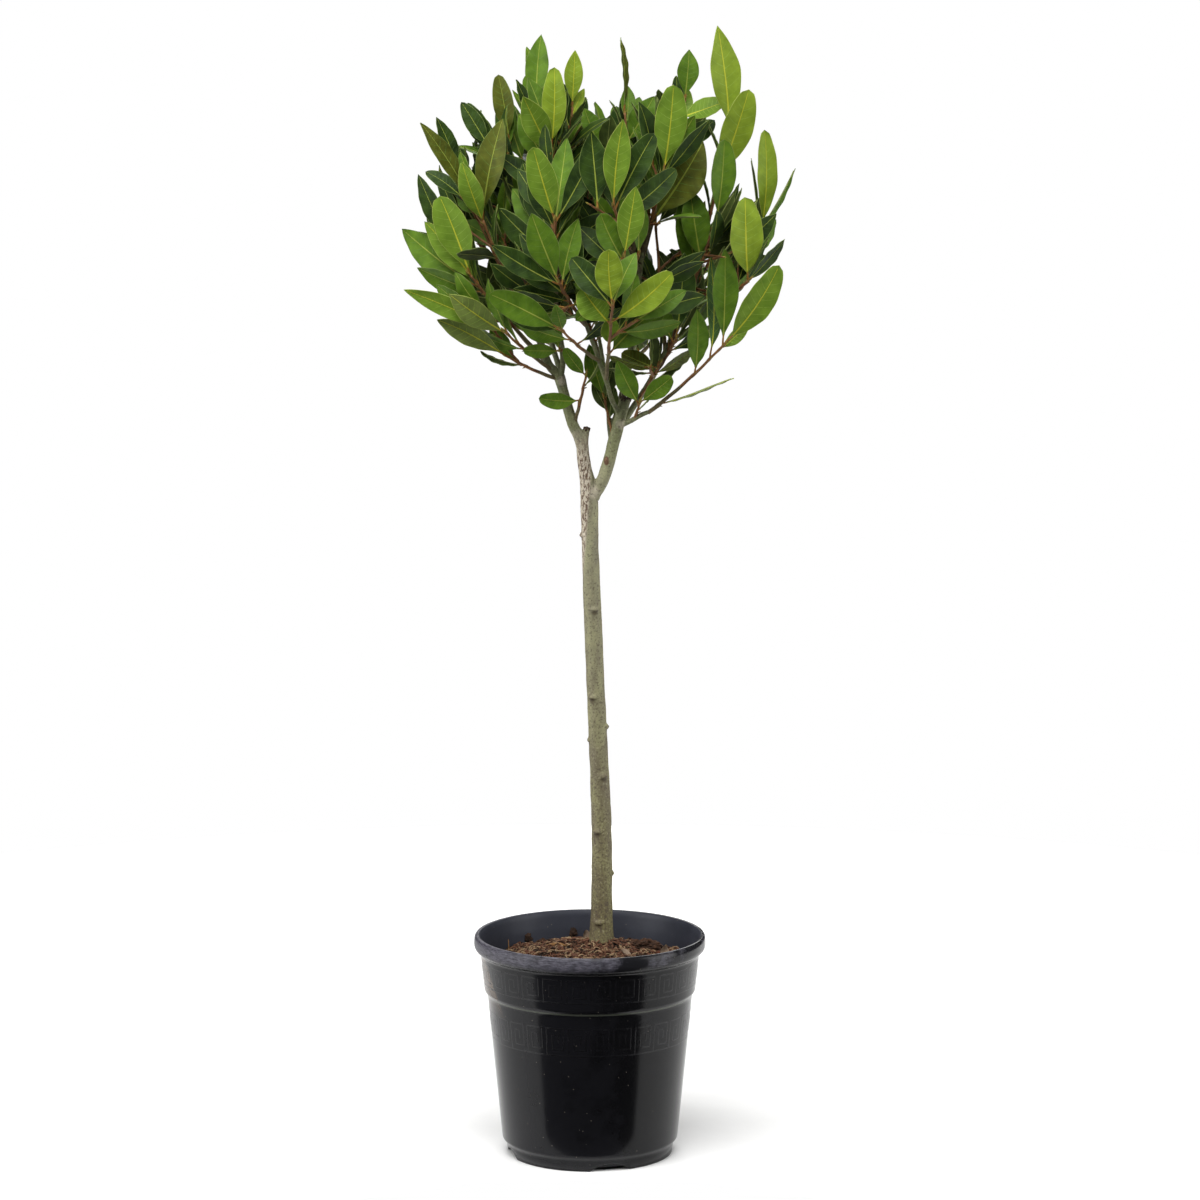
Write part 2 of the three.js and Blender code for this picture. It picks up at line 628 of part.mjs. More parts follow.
// A low arch that cuts through the wall of the foot, so that water runs out.
function notchSolid(turn) {
  const arch = new THREE.Shape();
  arch.moveTo(-NOTCH.width / 2, -1);
  arch.lineTo(NOTCH.width / 2, -1);
  arch.lineTo(NOTCH.width / 2, 0);
  arch.quadraticCurveTo(0, NOTCH.height * 2, -NOTCH.width / 2, 0);
  const settings = { depth: NOTCH.depth, bevelEnabled: false, curveSegments: 4 };
  const block = new THREE.ExtrudeGeometry(arch, settings);
  block.rotateX(Math.PI / 2).rotateZ(Math.PI / 2); // now it stands upright and runs out along +X
  block.computeBoundingBox();
  block.translate(POT.footRadius + NOTCH.past - block.boundingBox.max.x, 0, 0);
  return solidOf(block.rotateZ(turn));
}

function compostSolid() {
  const inner = POT.wall + GAP;
  const bottom = POT.floor + GAP;
  const wall = wallLine().slice(0, -1).map(([r, z]) => [r - inner, z + GAP]);
  return latheSolid([[0, bottom], [POT.footRadius - inner, bottom], ...wall, ...SOIL, [0, SOIL_TOP]]);
}

// ---------------------------------------------------------------- the plant

const MATERIALS = {
  pot: new THREE.MeshStandardMaterial({ color: COLOURS.pot, roughness: 0.38, metalness: 0 }),
  compost: new THREE.MeshStandardMaterial({ color: COLOURS.compost, roughness: 0.95, metalness: 0 }),
  bark: new THREE.MeshStandardMaterial({ color: COLOURS.bark, roughness: 0.8, metalness: 0 }),
  leaf: new THREE.MeshStandardMaterial({ color: COLOURS.leaf, roughness: 0.45, metalness: 0 }),
};

const plant = new THREE.Group();

function addPiece(name, solid, material) {
  const mesh = new THREE.Mesh(geometryOfSolid(solid), material.clone());
  mesh.name = name;
  plant.add(mesh);
}

addPiece("pot", potSolid(), MATERIALS.pot);
addPiece("compost", compostSolid(), MATERIALS.compost);

const fatLimbs = {};
for (const [name, rows] of Object.entries(LIMBS)) {
  const sides = LIMB_SIDES[name] ?? BRANCH_SIDES;
  let limb = limbSolid(rows, sides);
  for (const older of Object.values(fatLimbs)) limb = limb.subtract(older);
  addPiece(name, wholeBody(limb), MATERIALS.bark);
  fatLimbs[name] = limbSolid(rows, sides, GAP);
}

for (const shoot of growHead()) {
  addPiece("leaves_" + shoot.name, shootSolid(shoot, fatLimbs), MATERIALS.leaf);
}

export default plant;
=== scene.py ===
# %% [markdown]
# # A standard bay laurel in its nursery pot
# The plant is a bay laurel grown on one bare stem, with two pruned boughs and an open head of leaves.
# It stands in a round black plastic pot filled with fibrous compost. The imported CAD model gives the sizes,
# and every piece made here lies in its frame: metres in Blender, millimetres in this file, +Z up.

# %% Load the frame
import math
from types import SimpleNamespace

import bpy
import numpy as np
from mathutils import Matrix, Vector, noise


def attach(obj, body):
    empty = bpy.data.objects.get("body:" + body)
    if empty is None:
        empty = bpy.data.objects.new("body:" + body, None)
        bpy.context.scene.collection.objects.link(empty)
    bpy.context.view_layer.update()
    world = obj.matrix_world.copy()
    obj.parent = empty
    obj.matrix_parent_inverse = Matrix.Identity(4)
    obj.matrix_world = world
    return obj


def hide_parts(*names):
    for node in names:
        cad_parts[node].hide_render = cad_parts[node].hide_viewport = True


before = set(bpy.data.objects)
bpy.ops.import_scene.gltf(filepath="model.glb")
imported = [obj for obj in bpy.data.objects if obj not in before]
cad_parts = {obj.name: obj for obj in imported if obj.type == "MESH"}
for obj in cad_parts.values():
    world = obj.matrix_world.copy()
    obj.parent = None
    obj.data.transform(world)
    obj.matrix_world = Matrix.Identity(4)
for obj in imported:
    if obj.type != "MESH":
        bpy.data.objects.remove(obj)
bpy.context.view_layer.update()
NODES = sorted(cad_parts)

# %% [markdown]
# A plant is hundreds of small shapes. Making each one an object would be slow, so small meshes are piled up
# as arrays and become one joined piece for each kind: blades of one green, midribs, twigs and so on.

# %% Units and the pile that gathers small meshes
MM = 0.001


class Pile:
    """Many small meshes that end up as one joined piece."""

    def __init__(self):
        self.points = []
        self.faces = []
        self.count = 0

    def add(self, points, *face_blocks):
        points = np.asarray(points, float).reshape(-1, 3)
        self.points.append(points)
        for block in face_blocks:
            self.faces.extend((np.asarray(block) + self.count).tolist())
        self.count += len(points)


def add_object(name, data):
    """Puts a mesh, a lamp or a camera into the scene."""
    thing = bpy.data.objects.new(name, data)
    bpy.context.scene.collection.objects.link(thing)
    return thing


def mesh_of(name, pile):
    """The pile as one mesh, from millimetres to metres."""
    mesh = bpy.data.meshes.new(name)
    mesh.from_pydata((np.concatenate(pile.points) * MM).tolist(), [], pile.faces)
    return mesh


def make_piece(name, pile, material, nodes, smooth=True):
    """Turns a pile into a piece that stands for CAD nodes."""
    mesh = mesh_of(name, pile)
    mesh.validate()
    mesh.polygons.foreach_set("use_smooth", [smooth] * len(mesh.polygons))
    mesh.materials.append(material)
    hand_over(add_object(name, mesh), nodes)


def hand_over(piece, nodes):
    """Tells the frame what a finished piece rides on and replaces."""
    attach(piece, "root")
    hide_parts(*nodes)
    triangles = sum(len(p.vertices) - 2 for p in piece.data.polygons)
    print(piece.name, "triangles:", triangles)


# %% [markdown]
# Colours are written as the eye knows them, in sRGB hex, while Blender's shaders work in linear light. One
# function does that sum. One more adds any node with its settings and its links, and a few short ones stand
# on it for the nodes that come again and again, so each finish below reads as a list of what it is made of.

# %% Colours and nodes
def linear(hex_code):
    """An sRGB hex colour as linear RGBA."""
    channels = [int(hex_code[i:i + 2], 16) / 255 for i in (1, 3, 5)]
    return [c / 12.92 if c <= 0.04045 else ((c + 0.055) / 1.055) ** 2.4 for c in channels] + [1.0]


def add_node(tree, kind, inputs=None, **settings):
    """Adds one node: settings are its properties, inputs are socket values or the sockets linked to it."""
    node = tree.nodes.new(kind)
    for name, value in settings.items():
        setattr(node, name, value)
    for name, value in (inputs or {}).items():
        if isinstance(value, bpy.types.NodeSocket):
            tree.links.new(value, node.inputs[name])
        else:
            node.inputs[name].default_value = value
    return node


def cloud(tree, place, size, detail=2.0, roughness=0.5):
    """Soft noise with blobs of about so many millimetres."""
    return add_node(tree, "ShaderNodeTexNoise", {"Vector": place, "Scale": 1 / (size * MM), "Detail": detail,
                                                 "Roughness": roughness}).outputs[0]


def ramp(tree, value, low=0.0, high=1.0, start=0.0, end=1.0):
    """Turns low to high into start to end, and holds the ends beyond them."""
    return add_node(tree, "ShaderNodeMapRange", {"Value": value, "From Min": low, "From Max": high,
                                                 "To Min": start, "To Max": end}).outputs[0]


def blend(tree, share, first, second):
    """The second colour laid over the first by a share; each is a hex code or a socket."""
    first, second = (linear(c) if isinstance(c, str) else c for c in (first, second))
    return add_node(tree, "ShaderNodeMix", {0: share, 6: first, 7: second}, data_type="RGBA").outputs[2]


def combine(tree, operation, *values):
    """One sum on numbers, such as ADD, MULTIPLY or MAXIMUM."""
    return add_node(tree, "ShaderNodeMath", dict(enumerate(values)), operation=operation).outputs[0]


def on_vectors(tree, operation, *vectors, result=0):
    """One sum on vectors; some of them give a plain Value."""
    node = add_node(tree, "ShaderNodeVectorMath", dict(enumerate(vectors)), operation=operation)
    return node.outputs[result]


def new_finish(name, **constants):
    """A material, its nodes, its shader and the sockets that tell places on the piece."""
    material = bpy.data.materials.new(name)
    material.use_nodes = True
    tree = material.node_tree
    shader = tree.nodes["Principled BSDF"]
    for socket, value in constants.items():
        shader.inputs[socket.replace("_", " ")].default_value = value
    return material, tree, shader, add_node(tree, "ShaderNodeTexCoord").outputs


def wire(tree, shader, colour, roughness, height=None, strength=0.0, depth=0.1):
    """Joins the colour, the roughness and a relief of so many millimetres to the shader."""
    tree.links.new(colour, shader.inputs["Base Color"])
    tree.links.new(roughness, shader.inputs["Roughness"])
    if height is not None:
        relief = {"Height": height, "Strength": strength, "Distance": depth * MM}
        bump = add_node(tree, "ShaderNodeBump", relief)
        tree.links.new(bump.outputs[0], shader.inputs["Normal"])


# %% [markdown]
# ## Camera
# The plant was looked at from a little above, from far enough away that the pot hardly tapers by
# perspective. A long lens three and a half metres off gives the same view.

# %% Camera
CAMERA = {"side": 8.27, "away": 3500.0, "height": 969.6, "tilt": 8.304, "lens": 130.86}

camera = add_object("camera", bpy.data.cameras.new("camera"))
bpy.context.scene.camera = camera
camera.location = (CAMERA["side"] * MM, -CAMERA["away"] * MM, CAMERA["height"] * MM)
camera.rotation_euler = (math.radians(90 - CAMERA["tilt"]), 0, 0)
camera.data.lens = CAMERA["lens"]
camera.data.sensor_width = 36
camera.data.clip_start = 0.1
print("camera stands", CAMERA["away"], "mm away and", CAMERA["height"], "mm up")

# %% [markdown]
# ## Studio
# The plant stands near the front edge of a white sheet, between two tall soft panels, with others overhead,
# in front and behind. A shiny round pot is a mirror bent round a post: its sides show the white sheet as grey
# bands, and its middle shows the dark room in front of it. So the sheet has a wide notch cut out before the
# pot, the room is dim below the table's height, and only the camera sees the room as white.

# %% Lights and the white room
def area_light(name, place, aim, width, height, power):
    """A soft panel that lights the plant but isn't seen itself."""
    light = bpy.data.lights.new(name, "AREA")
    light.shape = "RECTANGLE"
    light.size = width
    light.size_y = height
    light.energy = power
    lamp = add_object(name, light)
    lamp.location = place
    lamp.rotation_euler = (Vector(aim) - Vector(place)).to_track_quat("-Z", "Y").to_euler()
    lamp.visible_camera = False


area_light("panel_left", (-2.3, -0.9, 1.0), (0, 0, 0.5), 1.7, 2.2, 46)
area_light("panel_right", (2.3, -0.6, 1.0), (0, 0, 0.5), 1.5, 2.2, 36)
area_light("panel_top", (-0.3, -1.3, 2.7), (0, 0, 0.7), 2.2, 1.6, 88)
area_light("panel_front", (0.1, -3.2, 1.9), (0, 0, 0.75), 2.4, 1.2, 17)
area_light("panel_back", (0.2, 2.2, 1.7), (0, 0, 0.3), 2.0, 1.4, 30)

world = bpy.data.worlds.new("white_room")
bpy.context.scene.world = world
world.use_nodes = True
room = world.node_tree
room.nodes.clear()
seen = add_node(room, "ShaderNodeLightPath")
way = add_node(room, "ShaderNodeTexCoord")
axes = add_node(room, "ShaderNodeSeparateXYZ", {"Vector": way.outputs["Generated"]})
above = ramp(room, axes.outputs["Z"], -0.1, 0.35, 0.02, 0.04)
paper = add_node(room, "ShaderNodeBackground", {"Color": linear("#FFFFFF"), "Strength": 1.0})
dim = add_node(room, "ShaderNodeBackground", {"Color": linear("#F4F0E8"), "Strength": above})
both = add_node(room, "ShaderNodeMixShader", {0: seen.outputs["Is Camera Ray"], 1: dim.outputs[0],
                                              2: paper.outputs[0]})
add_node(room, "ShaderNodeOutputWorld", {"Surface": both.outputs[0]})
bpy.context.scene.view_settings.view_transform = "Standard"
print("four panels and the room are in place")

# %% The paper on the table
PAPER = {"reach": 1.37, "first_turn": -29.7, "sides": 96}
NOTCH_IN_PAPER = [(-0.09, -0.096, 0), (0, -0.093, 0), (0.09, -0.096, 0)]


def paper_outline():
    """A round sheet with a wide notch cut out of its front."""
    start = math.radians(PAPER["first_turn"])
    turns = [start + (math.pi - 2 * start) * k / PAPER["sides"] for k in range(PAPER["sides"] + 1)]
    return [(PAPER["reach"] * math.cos(a), PAPER["reach"] * math.sin(a), 0) for a in turns] + NOTCH_IN_PAPER


floor_mesh = bpy.data.meshes.new("floor")
floor_mesh.from_pydata(paper_outline(), [], [list(range(PAPER["sides"] + 1 + len(NOTCH_IN_PAPER)))])
floor = add_object("floor", floor_mesh)
floor_finish, tree, shader, places = new_finish("matt_white_paper", Roughness=0.95)
tone = blend(tree, cloud(tree, places["Object"], 25), "#F6F6F5", "#FBFBFA")
away = on_vectors(tree, "LENGTH", places["Object"], result="Value")
tree.links.new(tone, shader.inputs["Base Color"])
tree.links.new(tone, shader.inputs["Emission Color"])
tree.links.new(ramp(tree, away, 0.3, 1.0, 0.0, 0.45), shader.inputs["Emission Strength"])
floor_mesh.materials.append(floor_finish)
print("paper reaches", PAPER["reach"], "m")


# %% [markdown]
# ## How the plant grows
# The solids of the CAD model were grown by a rule from a few named sizes, and the same rule is written here
# again, so every leaf comes out where its solid is. First come the sizes: the limbs as points of a centre
# line with a radius, and the shoots with the leaves that each is known by.

# %% Seeded numbers and small sums
MASK = 0xFFFFFFFF


def seeded(seed):
    """Numbers from 0 to 1 that are the same each run."""
    state = seed & MASK

    def draw():
        nonlocal state
        state = (state + 0x6D2B79F5) & MASK
        t = ((state ^ (state >> 15)) * (state | 1)) & MASK
        t ^= (t + (((t ^ (t >> 7)) * (t | 61)) & MASK)) & MASK
        return ((t ^ (t >> 14)) & MASK) / 4294967296

    return draw


def spread(draw, size):
    return (draw() * 2 - 1) * size


def unit(v):
    return v / math.sqrt(v[0] * v[0] + v[1] * v[1] + v[2] * v[2])


def turned(v, axis, angle):
    """v turned round a unit axis by the right-hand rule."""
    c, s = math.cos(angle), math.sin(angle)
    return v * c + np.cross(axis, v) * s + axis * (v @ axis) * (1 - c)


def polar(radius, turn):
    """How far right and back, from a distance and a bearing round the upright axis."""
    return radius * math.cos(turn), radius * math.sin(turn)


def around(right, other, turn):
    """The direction at an angle from right towards other."""
    return right * math.cos(turn) + other * math.sin(turn)


AHEAD = np.array([0.0, 1.0, 0.0])
UP = np.array([0.0, 0.0, 1.0])
check = seeded(101)
print("first seeded numbers:", round(check(), 4), round(check(), 4))

# %% Sizes of the head, the limbs and the shoots, in millimetres
HEART = np.array([5.0, 0.0, 745.0])
HEAD_MIDDLE = np.array([4.0, 0.0, 764.0])
HEAD_REACH = np.array([150.0, 142.0, 138.0])
TWIG = {"foot": 2.4, "sag": 0.06, "most_leaves": 8, "side_every": 70, "side_length": 30, "side_foot": 1.9,
        "side_leaves": 4}
LEAF = {"spacing": 7.5, "petiole": 0.1, "clear": 1.7, "clear_of_wood": 1.3, "own_wood": 0.45, "bow": 0.035}
GOLDEN = 137.5
NUDGES = (0, 8, -8, 16, -16)
TRIES = len(NUDGES)

# Each limb: points of its centre line, as right, back and up, with the radius there. The trunk's last point
# is the leader, cut off short at a node, and the right bough ends in a square cut.
LIMBS = {
  "trunk": [[9.5, 22, 170.35, 10.6], [9.6, 21, 196, 9.1], [9.6, 18, 267, 8.5], [6.4, 14, 347, 7.7],
    [3.2, 10, 426, 7.5], [0.4, 6, 498, 7], [-0.7, 4, 545, 7.4], [-3.8, 2, 566, 5.4], [-5.8, 0, 584, 5.2],
    [-2.4, -2, 599, 2.6]],
  "bough_left": [[-5.4, 0, 580, 4.6], [-8.6, -1, 592, 4.9], [-13.5, -3, 602, 4.6], [-19.1, -5, 621, 4.3],
    [-25, -6, 641, 4], [-33, -9, 651, 3.4], [-38.5, -12, 667, 3], [-46, -15, 690, 2.4]],
  "bough_right": [[-1, 4, 540, 4.4], [6.5, 2, 549, 5.2], [13.1, -1, 564, 5.1], [20.4, -4, 592, 5],
    [28.9, -6, 624, 4.7]],
  "branch_left_inner": [[-24.2, -6, 636, 2.6], [-21.5, -10, 654, 2.8], [-24, -14, 676, 2.5],
    [-28, -20, 704, 2.2], [-30, -24, 732, 1.9]],
  "branch_left_back": [[-18, -4, 616, 2.4], [-21, 10, 634, 2.8], [-33, 30, 672, 2.4], [-42, 40, 706, 1.9]],
  "branch_front": [[24.6, -5, 608, 2.2], [17.9, -14, 623, 2.4], [13, -20, 640, 2.2], [6, -26, 660, 2],
    [-4, -32, 688, 1.7]],
  "branch_right_low": [[24.5, -5, 601, 2.2], [33, -12, 606, 2.4], [41, -16, 611, 2.2], [48, -18, 614, 2]],
  "branch_right_inner": [[26.5, -4, 613, 2.4], [27, 6, 632, 2.7], [33, 2, 664, 2.5], [38, -6, 702, 2.2],
    [42, -14, 742, 1.8]],
  "branch_right_outer": [[22.4, -4, 597, 2.4], [33, 5, 612, 2.9], [51, 10, 640, 2.7], [68, 6, 676, 2.3],
    [82, 0, 712, 1.8]],
  "branch_right_back": [[19.5, -3, 588, 2.4], [21, 12, 606, 2.8], [33, 36, 648, 2.4], [42, 50, 690, 1.9]],
  "branch_back": [[18.5, -1, 580, 2.3], [15.6, 9, 599, 2], [12.4, 30, 640, 2], [3, 52, 690, 1.8]],
}

# Each shoot: its limb, its share of the way along it, its tip, how many more leaves its stem may carry,
# their size, and its leading leaves. A leading leaf: its share of the way along the twig, its lean to the
# right and its lean forwards in degrees, its length and its width, and for some a turn of the blade.
SHOOTS = {
  "left_top": ["branch_left_inner", 0.98, [-30, -38, 826], 5, 62,
    [[1, 2, 12, 64, 20], [0.93, -25, 26, 60, 22]]],
  "left_peak": ["branch_left_inner", 0.86, [-42, -6, 853], 4, 50,
    [[0.98, 3, 0, 64, 19], [1, -10, -8, 56, 16, 55], [0.92, -27, 10, 44, 14, 40]]],
  "left_peak_inner": ["branch_left_inner", 0.74, [-14, 0, 856], 4, 48,
    [[1, 3, 10, 46, 15], [0.95, 24, -10, 26, 9]]],
  "left_front": ["branch_left_inner", 0.66, [-27, -76, 770], 5, 60,
    [[1, -16, 18, 64, 23], [0.98, 28, 6, 74, 19], [0.95, 8, -8, 70, 20]]],
  "left_low_front": ["branch_front", 0.97, [-24, -76, 722], 5, 58,
    [[1, -21, 16, 62, 24], [0.94, -59, 15, 64, 18], [0.86, -38, -6, 56, 17], [0.9, 14, 0, 56, 18]]],
  "left_belly": ["branch_front", 0.7, [-22, -70, 684], 4, 52,
    [[1, -62, 13, 66, 23], [0.97, -14, 24, 30, 12]]],
  "left_shoulder": ["bough_left", 0.87, [-85, -34, 768], 5, 62,
    [[1, 12, 10, 84, 25], [0.97, -19, 18, 56, 19]]],
  "left_crest": ["bough_left", 1, [-64, -4, 829], 4, 46,
    [[1, -9, 5, 54, 17], [0.96, -12, 0, 36, 15], [0.84, -16, 8, 36, 13]]],
  "left_fringe": ["bough_left", 0.81, [-104, -6, 802], 5, 46,
    [[0.84, -32, 8, 80, 17, 50], [1, -22, 0, 50, 14, 45], [0.95, -6, -20, 34, 13]]],
  "left_side": ["bough_left", 0.755, [-95, -30, 724], 4, 58,
    [[1, -20, 14, 70, 29], [0.9, -40, 6, 66, 21], [0.86, -53, -4, 80, 26]]],
  "left_edge": ["bough_left", 0.7, [-112, 14, 744], 5, 54, [[1, -24, 5, 64, 17], [0.9, -58, 0, 44, 16]]],
  "low_left": ["bough_left", 0.55, [-66, -24, 659], 3, 44, [[1, -60, 14, 66, 18], [0.8, -38, 0, 36, 15]]],
  "low_left_upper": ["bough_left", 0.63, [-67, -42, 680], 4, 52,
    [[0.95, -54, 20, 60, 21], [1, -66, 6, 88, 17]]],
  "centre_top": ["branch_right_inner", 0.9, [19, -84, 781], 5, 61,
    [[1, 6, 14, 72, 21], [0.965, 27, 8, 68, 21], [0.85, 50, -4, 60, 19], [0.925, -14, -10, 54, 18]]],
  "centre_peak": ["branch_right_inner", 0.84, [8, 2, 824], 5, 46,
    [[1, -22, 6, 34, 16], [0.95, 18, 0, 30, 16]]],
  "right_crown": ["branch_right_inner", 1, [58, -52, 806], 5, 62,
    [[1, 6, 12, 72, 26], [0.95, 39, 10, 60, 16, 40], [0.42, 33, 6, 76, 34]]],
  "right_peak": ["branch_right_inner", 0.95, [76, 6, 862], 4, 46,
    [[1, 5, 4, 40, 18], [0.9, 70, 10, 38, 18], [0.85, 6, -6, 36, 18]]],
  "needle": ["branch_right_inner", 0.78, [28, 16, 851], 4, 44,
    [[1, -3, 0, 60, 14, 64], [0.85, 30, 10, 44, 20]]],
  "right_top": ["branch_right_outer", 1, [111, -12, 836], 4, 54,
    [[1, -7, 6, 86, 27], [0.72, 18, 16, 79, 26], [0.5, -14, 26, 42, 13, 50]]],
  "right_fringe": ["branch_right_outer", 0.93, [137, 2, 757], 4, 54,
    [[1, 1, 6, 82, 18], [0.96, -6, -12, 62, 14, 60], [0.9, 30, 4, 66, 17, 60]]],
  "right_upper": ["branch_right_outer", 0.82, [100, -42, 768], 5, 54,
    [[1, 5, 10, 66, 21], [0.6, -9, 6, 62, 25], [0.42, -8, 4, 66, 25]]],
  "right_side": ["branch_right_outer", 0.7, [126, -34, 720], 4, 56,
    [[1, -2, 12, 68, 29], [0.98, 40, 6, 46, 14, 30]]],
  "right_belly": ["branch_right_outer", 0.5, [69, -34, 674], 4, 54,
    [[1, 5, 8, 70, 23], [0.9, -24, 14, 50, 20]]],
  "low_inner_right": ["branch_right_outer", 0.34, [56, -16, 652], 4, 46,
    [[0.9, -66, 8, 32, 15]]],
  "low_right": ["branch_right_low", 1, [108, -30, 670], 3, 46,
    [[1, 33.5, 16, 79, 25], [0.97, 1, 6, 78, 22], [0.8, -1, 10, 82, 19, 20], [0.6, 1, 14, 58, 18],
      [0.12, 68, 4, 64, 15, 66], [0.92, 48, -20, 34, 11]]],
  "centre_front": ["branch_front", 0.5, [18, -94, 706], 3, 46,
    [[1, -4, 16, 46, 22], [0.8, 50, 14, 64, 22], [0.77, -38, 12, 38, 25], [0.38, 46, 14, 62, 26],
      [0.5, 4, 30, 25, 15], [0.97, -40, -6, 50, 20]]],
  "centre_middle": ["branch_right_inner", 0.52, [27, -78, 741], 3, 46,
    [[1, 9, 8, 60, 21], [0.96, -26, 2, 46, 20], [0.9, -48, -8, 50, 19]]],
  "low_centre": ["bough_left", 0.27, [-3, -20, 643], 2, 28,
    [[0.55, -86, 10, 34, 14], [1, -36, 16, 32, 12]]],
  "spur_left": ["branch_left_inner", 0.36, [-24, -30, 664], 2, 28,
    [[0.9, -88, 14, 30, 12], [1, -15, 10, 30, 10]]],
  "spur_right": ["branch_right_low", 0.45, [40, -26, 622], 2, 30,
    [[0.9, -26, 22, 44, 17], [1, 50, 10, 34, 16]]],
  "spur_centre": ["bough_right", 0.72, [12, 4, 622], 3, 40, [[1, -16, 0, 46, 16]]],
  "back_left_high": ["branch_left_back", 1, [-58, 56, 808], 8, 62, []],
  "back_left": ["branch_left_back", 0.8, [-96, 50, 752], 8, 62, []],
  "back_left_low": ["branch_left_back", 0.6, [-76, 58, 688], 7, 58, []],
  "back_left_mid": ["branch_left_back", 0.72, [-52, 92, 738], 8, 62, []],
  "back_high": ["branch_back", 1, [-10, 66, 826], 8, 60, []],
  "back_middle": ["branch_back", 0.86, [-8, 106, 772], 8, 64, []],
  "back_low": ["branch_back", 0.7, [-7, 91, 696], 7, 60, []],
  "back_right_high": ["branch_right_back", 1, [50, 58, 822], 8, 58, []],
  "back_right_mid": ["branch_right_back", 0.9, [48, 98, 752], 8, 64, []],
  "back_right_low": ["branch_right_back", 0.66, [68, 72, 684], 7, 58, []],
  "back_right": ["branch_right_outer", 0.52, [102, 52, 742], 8, 62, []],
  "heart_left": ["branch_left_back", 0.9, [-52, 8, 772], 7, 58, []],
  "heart": ["branch_right_inner", 0.7, [12, -8, 760], 7, 58, []],
  "heart_right": ["branch_right_outer", 0.64, [52, 14, 780], 7, 58, []],
}
print("limbs:", len(LIMBS), "shoots:", len(SHOOTS))

# %% [markdown]
# A limb's centre line is a smooth curve through its points, and a twig is a curve with a single bend.

# %% Centre lines
def limb_place(rows, share):
    """A point at a share of a limb, on a smooth curve through its rows."""
    points = np.array([row[:3] for row in rows], float)
    last = len(points) - 1
    at = min(max(share, 0.0), 1.0) * last
    i = min(int(at), last - 1)
    w = at - i
    before = points[i - 1] if i > 0 else 2 * points[0] - points[1]
    after = points[i + 2] if i + 2 <= last else 2 * points[last] - points[last - 1]
    start, end = points[i], points[i + 1]
    t0, t1 = 0.5 * (end - before), 0.5 * (after - start)
    return ((2 * start - 2 * end + t0 + t1) * w ** 3 + (-3 * start + 3 * end - 2 * t0 - t1) * w ** 2
            + t0 * w + start)


def twig_place(twig, share):
    k = 1 - share
    return k * k * twig.root + 2 * k * share * twig.middle + share * share * twig.tip


def twig_along(twig, share):
    low, high = max(share - 1e-4, 0.0), min(share + 1e-4, 1.0)
    return unit(twig_place(twig, high) - twig_place(twig, low))


def make_twig(root, tip, sag, foot):
    length = float(np.linalg.norm(tip - root))
    middle = (root + tip) / 2 - UP * (sag * length)
    return SimpleNamespace(root=root, tip=tip, middle=middle, length=length, foot=foot)


# %% [markdown]
# A leaf is a root on its twig, a direction, the way its upper side faces and how far its middle bows out.
# Two leaves may not cut through each other, nor through wood, and the tests for that work on whole arrays
# of points at once, because plain loops over hundreds of leaves would take minutes.

# %% Leaves and the tests that keep them clear
EDGE_SHARES = np.array([0.2, 0.36, 0.52, 0.68, 0.84, 1.0])
RIB_SHARES = np.array([0.12, 0.26, 0.4, 0.6, 0.8])


def blade_half(share):
    """Half a blade's width at a share of its length, as a share of its full width."""
    t = (np.asarray(share, float) - LEAF["petiole"]) / (1 - LEAF["petiole"])
    inside = (t > 0) & (t < 1)
    safe = np.where(inside, t, 0.5)
    return np.where(inside, 0.5 * np.sin(np.pi * safe ** 0.92) ** 0.85, 0.0)


def on_leaf(leaf, share, across):
    """Points on the leaf's middle sheet, at a share of its length and so many millimetres across."""
    share = np.asarray(share, float)[..., None]
    across = np.asarray(across, float)[..., None]
    return (leaf.root + leaf.u * share * leaf.length + leaf.v * across
            + leaf.n * (4 * leaf.bow * share * (1 - share)))


def make_leaf(root, direction, face, turn, length, width, bow):
    u = unit(direction)
    n = turned(unit(face - u * (face @ u)), u, turn)
    v = np.cross(n, u)
    leaf = SimpleNamespace(root=root, u=u, v=v, n=n, length=length, width=width, bow=bow * length)
    leaf.middle = root + u * (length / 2)
    half = blade_half(EDGE_SHARES) * width
    leaf.edges = np.stack([on_leaf(leaf, EDGE_SHARES, -half), on_leaf(leaf, EDGE_SHARES, half)])
    leaf.rib = on_leaf(leaf, RIB_SHARES, 0 * RIB_SHARES)
    return leaf


def frame_of(leaf):
    return leaf.root, leaf.u, leaf.v, leaf.n, leaf.length, leaf.bow


def in_frames(points, root, u, v, n, length, bow):
    """Points seen from leaves: share of the length, distance across and height above the blade."""
    d = points - root
    share = (d * u).sum(-1) / length
    return share, (d * v).sum(-1), (d * n).sum(-1) - 4 * bow * share * (1 - share)


def over_blade(share, across, width):
    half = blade_half(np.minimum(share, 0.97)) * width
    return (share > 0.1) & (share < 1.02) & (np.abs(across) < half + 1)


def crosses(before, after, width):
    """Whether the line between two spots, seen from a leaf, cuts its blade."""
    f = before[2] / np.where(before[2] == after[2], 1e-12, before[2] - after[2])
    share = before[0] + (after[0] - before[0]) * f
    across = before[1] + (after[1] - before[1]) * f
    return (before[2] * after[2] <= 0) & over_blade(share, across, width)


def edges_meet(edges, clear, root, u, v, n, length, bow, width):
    """Whether edge points, as (..., side, six, xyz), come near or pass through blades."""
    share, across, above = in_frames(edges, root, u, v, n, length, bow)
    near = (np.abs(above) < clear) & over_blade(share, across, width)
    cut = crosses((share[..., :-1], across[..., :-1], above[..., :-1]),
                  (share[..., 1:], across[..., 1:], above[..., 1:]), width)
    return bool(near.any() or cut.any())


